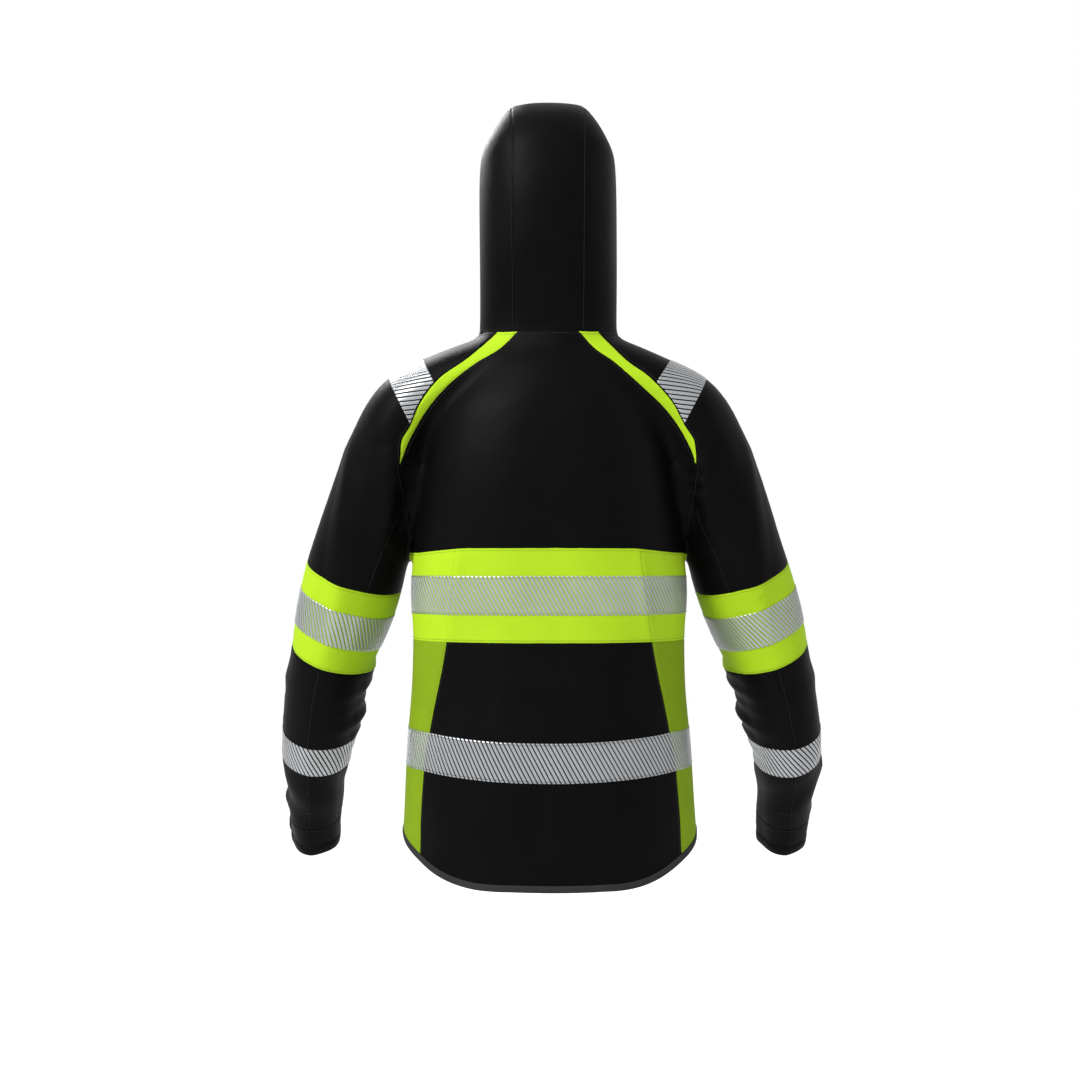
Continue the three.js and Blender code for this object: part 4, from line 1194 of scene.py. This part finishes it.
def pull_parts(size, axis, length):
    """A zip pull: a ring round the bridge and a ribbed grip that hangs from it."""
    top = -6.3 * size + 0.8
    ring = rounded(-4.0 * size, top - 9 * size, 4.0 * size, top, 1.6 * size)
    hole = rounded(-2.2 * size, top - 7.2 * size, 2.2 * size, top - 1.7, 1.0 * size)[::-1]
    parts = [plate(ring, axis - 0.7, axis + 0.7, 0.3, hole)]
    low = top - length
    grip = rounded(-4.2 * size, low, 4.2 * size, top - 8 * size, 2.2 * size)
    parts.append(plate(grip, axis - 0.8, axis + 0.8, 0.4))
    for k in range(5):
        z = low + (5 + 2.4 * k) * size
        parts.append(block((-2.6 * size, axis + 0.5, z - 0.4), (2.6 * size, axis + 1.15, z + 0.4), 0.2, 1))
    return parts


def sheet_area(grid):
    """Area in square metres of a grid of points in millimetres."""
    a, b = grid[1:, 1:] - grid[:-1, :-1], grid[1:, :-1] - grid[:-1, 1:]
    return float(np.linalg.norm(np.cross(a, b), axis=-1).sum()) / 2e6


MAIN_LENGTH, FACE, BOX, PULL_RISE = 663.6, 1.2, 12, 3.9
COIL_FACE, COIL_PULL_RISE = 0.3, 3.1
main_zip = Place((0, -113.83, 12), (-1, 0, 0), (0, -0.9991, 0.0423), (0, 0.0423, 0.9991))
chain = teeth(MAIN_LENGTH - BOX - 1, pitch=2.9, tooth=1.7, reach=2.9, y0=FACE - 2.6, y1=FACE - 0.1)
cords = cord_edges(MAIN_LENGTH - BOX, x=3.6, y=-1.9, radius=0.75)
fitting("teeth_main", "main_zip_chain", ZIP, main_zip, chain)
fitting("cords_main", "main_zip_tape", ZIP_TAPE, main_zip, cords)
fitting("box_main", "main_zip_box", METAL, main_zip,
        [block((-4.4, -2.8, -MAIN_LENGTH), (4.4, FACE + 0.9, -MAIN_LENGTH + BOX), 0.7, 3),
         block((-3.4, FACE + 0.6, -MAIN_LENGTH + 2), (3.4, FACE + 1.15, -MAIN_LENGTH + BOX - 2), 0.25)])
fitting("stop_main", "main_zip_stop", METAL, main_zip,
        [block((-3, -2.6, 0.35), (-0.2, FACE + 0.8, 2.6), 0.5),
         block((0.2, -2.6, 0.35), (3, FACE + 0.8, 2.6), 0.5)])
fitting("slider_main", "main_zip_slider", METAL, main_zip, slider_parts(1, FACE, foot=-1.4, rise=PULL_RISE))
fitting("pull_main", "main_zip_pull", METAL, main_zip, pull_parts(1, FACE + PULL_RISE, length=34))


# the woven tape behind the chain follows the coat's inner face, with a faint rib
TAPE_ROWS, TAPE_COLUMNS = 120, 13
down = np.linspace(COLLAR_TOP - 0.4, -643, TAPE_ROWS)
across, level = np.meshgrid(np.linspace(-14, 14, TAPE_COLUMNS), down)
depth = body_point(level, -np.pi / 2)[..., 1] + 3.9 + 0.12 * np.cos(across * 2.2)
woven = np.stack([across, depth, level], -1)
tape = new_object("tape_main", woven, ribbon_faces(TAPE_ROWS, TAPE_COLUMNS))
finish_piece(tape, "main_zip_tape", ZIP_TAPE, 0.9, offset=0.0)

# ---- Pocket zips, sliders, pulls and bags ----
BAG_ROWS, BAG_COLUMNS = 24, 15
for side, mirror in SIDES:
    basis = np.array([[-0.884, -0.467, 0.026], [0.468, -0.882, 0.048], [0, 0.055, 0.999]])
    place = Place(np.array([POCKET_X, -112.3, POCKET_TOP]) * mirror, *basis * mirror)
    coil = teeth(POCKET_LENGTH, pitch=1.5, tooth=0.95, reach=1.9, y0=-0.9, y1=0.35)
    coil.append(block((-4.1, -2.6, -POCKET_LENGTH), (4.1, -1.2, 0), 0.4))
    coil += cord_edges(POCKET_LENGTH, x=2.7, y=-1.0, radius=0.5)
    slider = slider_parts(0.7, COIL_FACE, foot=-0.3, rise=COIL_PULL_RISE)
    pull = pull_parts(0.7, COIL_FACE + COIL_PULL_RISE, length=25.5)
    fitting(f"coil_pocket_{side}", f"pocket_zip_{side}", ZIP, place, coil)
    fitting(f"slider_pocket_{side}", f"pocket_slider_{side}", METAL, place, slider)
    fitting(f"pull_pocket_{side}", f"pocket_pull_{side}", METAL, place, pull)
    # the bag hangs inside, from above the zip to well below it: a across it, b down it
    a, b = np.meshgrid(np.linspace(0, 1, BAG_COLUMNS), np.linspace(0, 1, BAG_ROWS))
    x, z = (1 - b) * (52 + 70 * a) + b * (40 + 88 * a), (1 - b) * (-419 + 22 * a) + b * (-599 + 18 * a)
    turn = -np.arccos(np.minimum((x / smooth(SECTIONS, z)) ** (smooth(SECTIONS, z, 3) / 2), 1))
    grid = on_cloth(body_point(z, turn, -CLOTH / 2) * mirror, -3.4 - 0.7 * np.sin(b * 5 * (a * 6 + 1)))
    obj = new_object(f"bag_pocket_{side}", grid, ribbon_faces(BAG_ROWS, BAG_COLUMNS))
    finish_piece(obj, f"pocket_bag_{side}", BINDING_GREY, 1.2, offset=0.0)
    area = sheet_area(grid)

# ---- Cuff tabs: a strap sewn at the front, closed over the outside of the cuff ----
TAB_HALF, TAB_END, TAB_LIFT, TAB_TURNS = 13, 9, 1.5, (-0.1, 1.62)
TAB_ROWS, TAB_COLUMNS = 40, 11


def stitches_on(run, lift=2.35):
    """Stitches along a path of rest points, lifted off the cloth, as one mesh."""
    points = stitch_points(run, 0.5)
    where, out = cloth_at(points.reshape(-1, 3))
    where, out = (where + out * lift).reshape(points.shape), out.reshape(points.shape)
    parts = []
    for three, outs in zip(where, out):
        across = np.cross(three[2] - three[0], outs[1])
        across *= 0.3 / np.linalg.norm(across)
        ring = [three - across, three + 0.35 * outs, three + across, three - 0.2 * outs]
        parts.append(swept(np.stack(ring, 1), False))
    return gathered(parts)


for side, mirror in SIDES:
    middle = cuff_point - CUFF_HEIGHT / 2 * cuff_along
    surface, length = ring_surface(middle, cuff_along, -inside, 2 * TAB_HALF, TAB_TURNS, mirror)
    us, vs = np.linspace(0, 1, TAB_ROWS), np.linspace(-1, 1, TAB_COLUMNS)
    from_end = 1 - np.clip(us * length / TAB_END, 0, 1)
    half = TAB_HALF - 8 * (1 - np.sqrt(1 - from_end**2))
    grid = surface(np.repeat(us[:, None] * length, TAB_COLUMNS, 1), half[:, None] * vs)
    verts = on_cloth(grid, TAB_LIFT + 0.35 * np.cos(vs * np.pi))
    tab_bend[side] = (verts[-2, TAB_COLUMNS // 2] * mirror, verts[-11, TAB_COLUMNS // 2] * mirror)
    obj = new_object(f"tab_cuff_{side}", verts, ribbon_faces(TAB_ROWS, TAB_COLUMNS))
    finish_piece(obj, f"cuff_tab_{side}", BINDING_GREY, 1.5, offset=0.0)
    top = [(u * length, w - 2.2) for u, w in zip(us, half)][1:-1]
    rim = np.array(top + [(u, -w) for u, w in top[::-1]] + top[:1])
    obj = new_object(f"stitch_tab_{side}", *stitches_on(surface(rim[:, 0], rim[:, 1])))
    outward(obj)
    finish_piece(obj, f"cuff_tab_{side}", THREAD)

# ---- Hanger loop: a strap over the neck's inside, its ends sewn down ----
half_loop = [(26.3, -6), (26.3, 6), (25.6, 9), (24, 10.8), (21.5, 11.4)]
loop_path = [(-x, z) for x, z in half_loop] + [(0, 11.5)] + half_loop[::-1]
verts, faces = strap(loop_path, 7, 1.2, radius=0.4)
loop = new_object("loop_hanger", verts[:, [1, 0, 2]] + [0, 69.1, 0], faces)
outward(loop)
finish_piece(loop, "hanger_loop", BINDING_GREY)

# ---- Camera, light and backdrop ----
world = bpy.data.worlds.new("studio")
world.use_nodes = True
world.node_tree.nodes["Background"].inputs["Color"].default_value = (1, 1, 1, 1)
world.node_tree.nodes["Background"].inputs["Strength"].default_value = 1.0
bpy.context.scene.world = world


def area_light(name, where, target, size, power):
    light = bpy.data.lights.new(name, "AREA")
    light.size, light.energy = size, power
    obj = bpy.data.objects.new(name, light)
    bpy.context.collection.objects.link(obj)
    obj.location = where
    obj.rotation_euler = (Vector(target) - Vector(where)).to_track_quat("-Z", "Y").to_euler()


area_light("key", (1.6, 1.65, 1.6), (0, 0, -0.2), 0.7, 135)
area_light("rim", (-2.0, 0.2, 0.4), (0, 0, -0.25), 0.9, 6)
area_light("front", (1.1, -2.0, 1.6), (0, 0, -0.2), 1.0, 62)

corners = [(-9000, -9000, -1500), (9000, -9000, -1500), (9000, 9000, -1500), (-9000, 9000, -1500)]
floor = new_object("studio_floor", corners, [(0, 1, 2, 3)])
pale = node_material("floor_pale", (0.9, 0.9, 0.9), 0.9, gloss=0.0, mottle=0.004, glow=0.14)
floor.data.materials.append(pale)

camera = bpy.data.cameras.new("camera")
camera.sensor_width, camera.lens = 36, 44.27
camera.shift_x, camera.shift_y = -0.0074, 0.0231
camera_object = bpy.data.objects.new("camera", camera)
bpy.context.collection.objects.link(camera_object)
camera_object.location = (0, 1.8, -0.304)
camera_object.rotation_euler = (math.pi / 2, 0, math.pi)
bpy.context.scene.camera = camera_object
bpy.context.scene.view_settings.view_transform = "Standard"
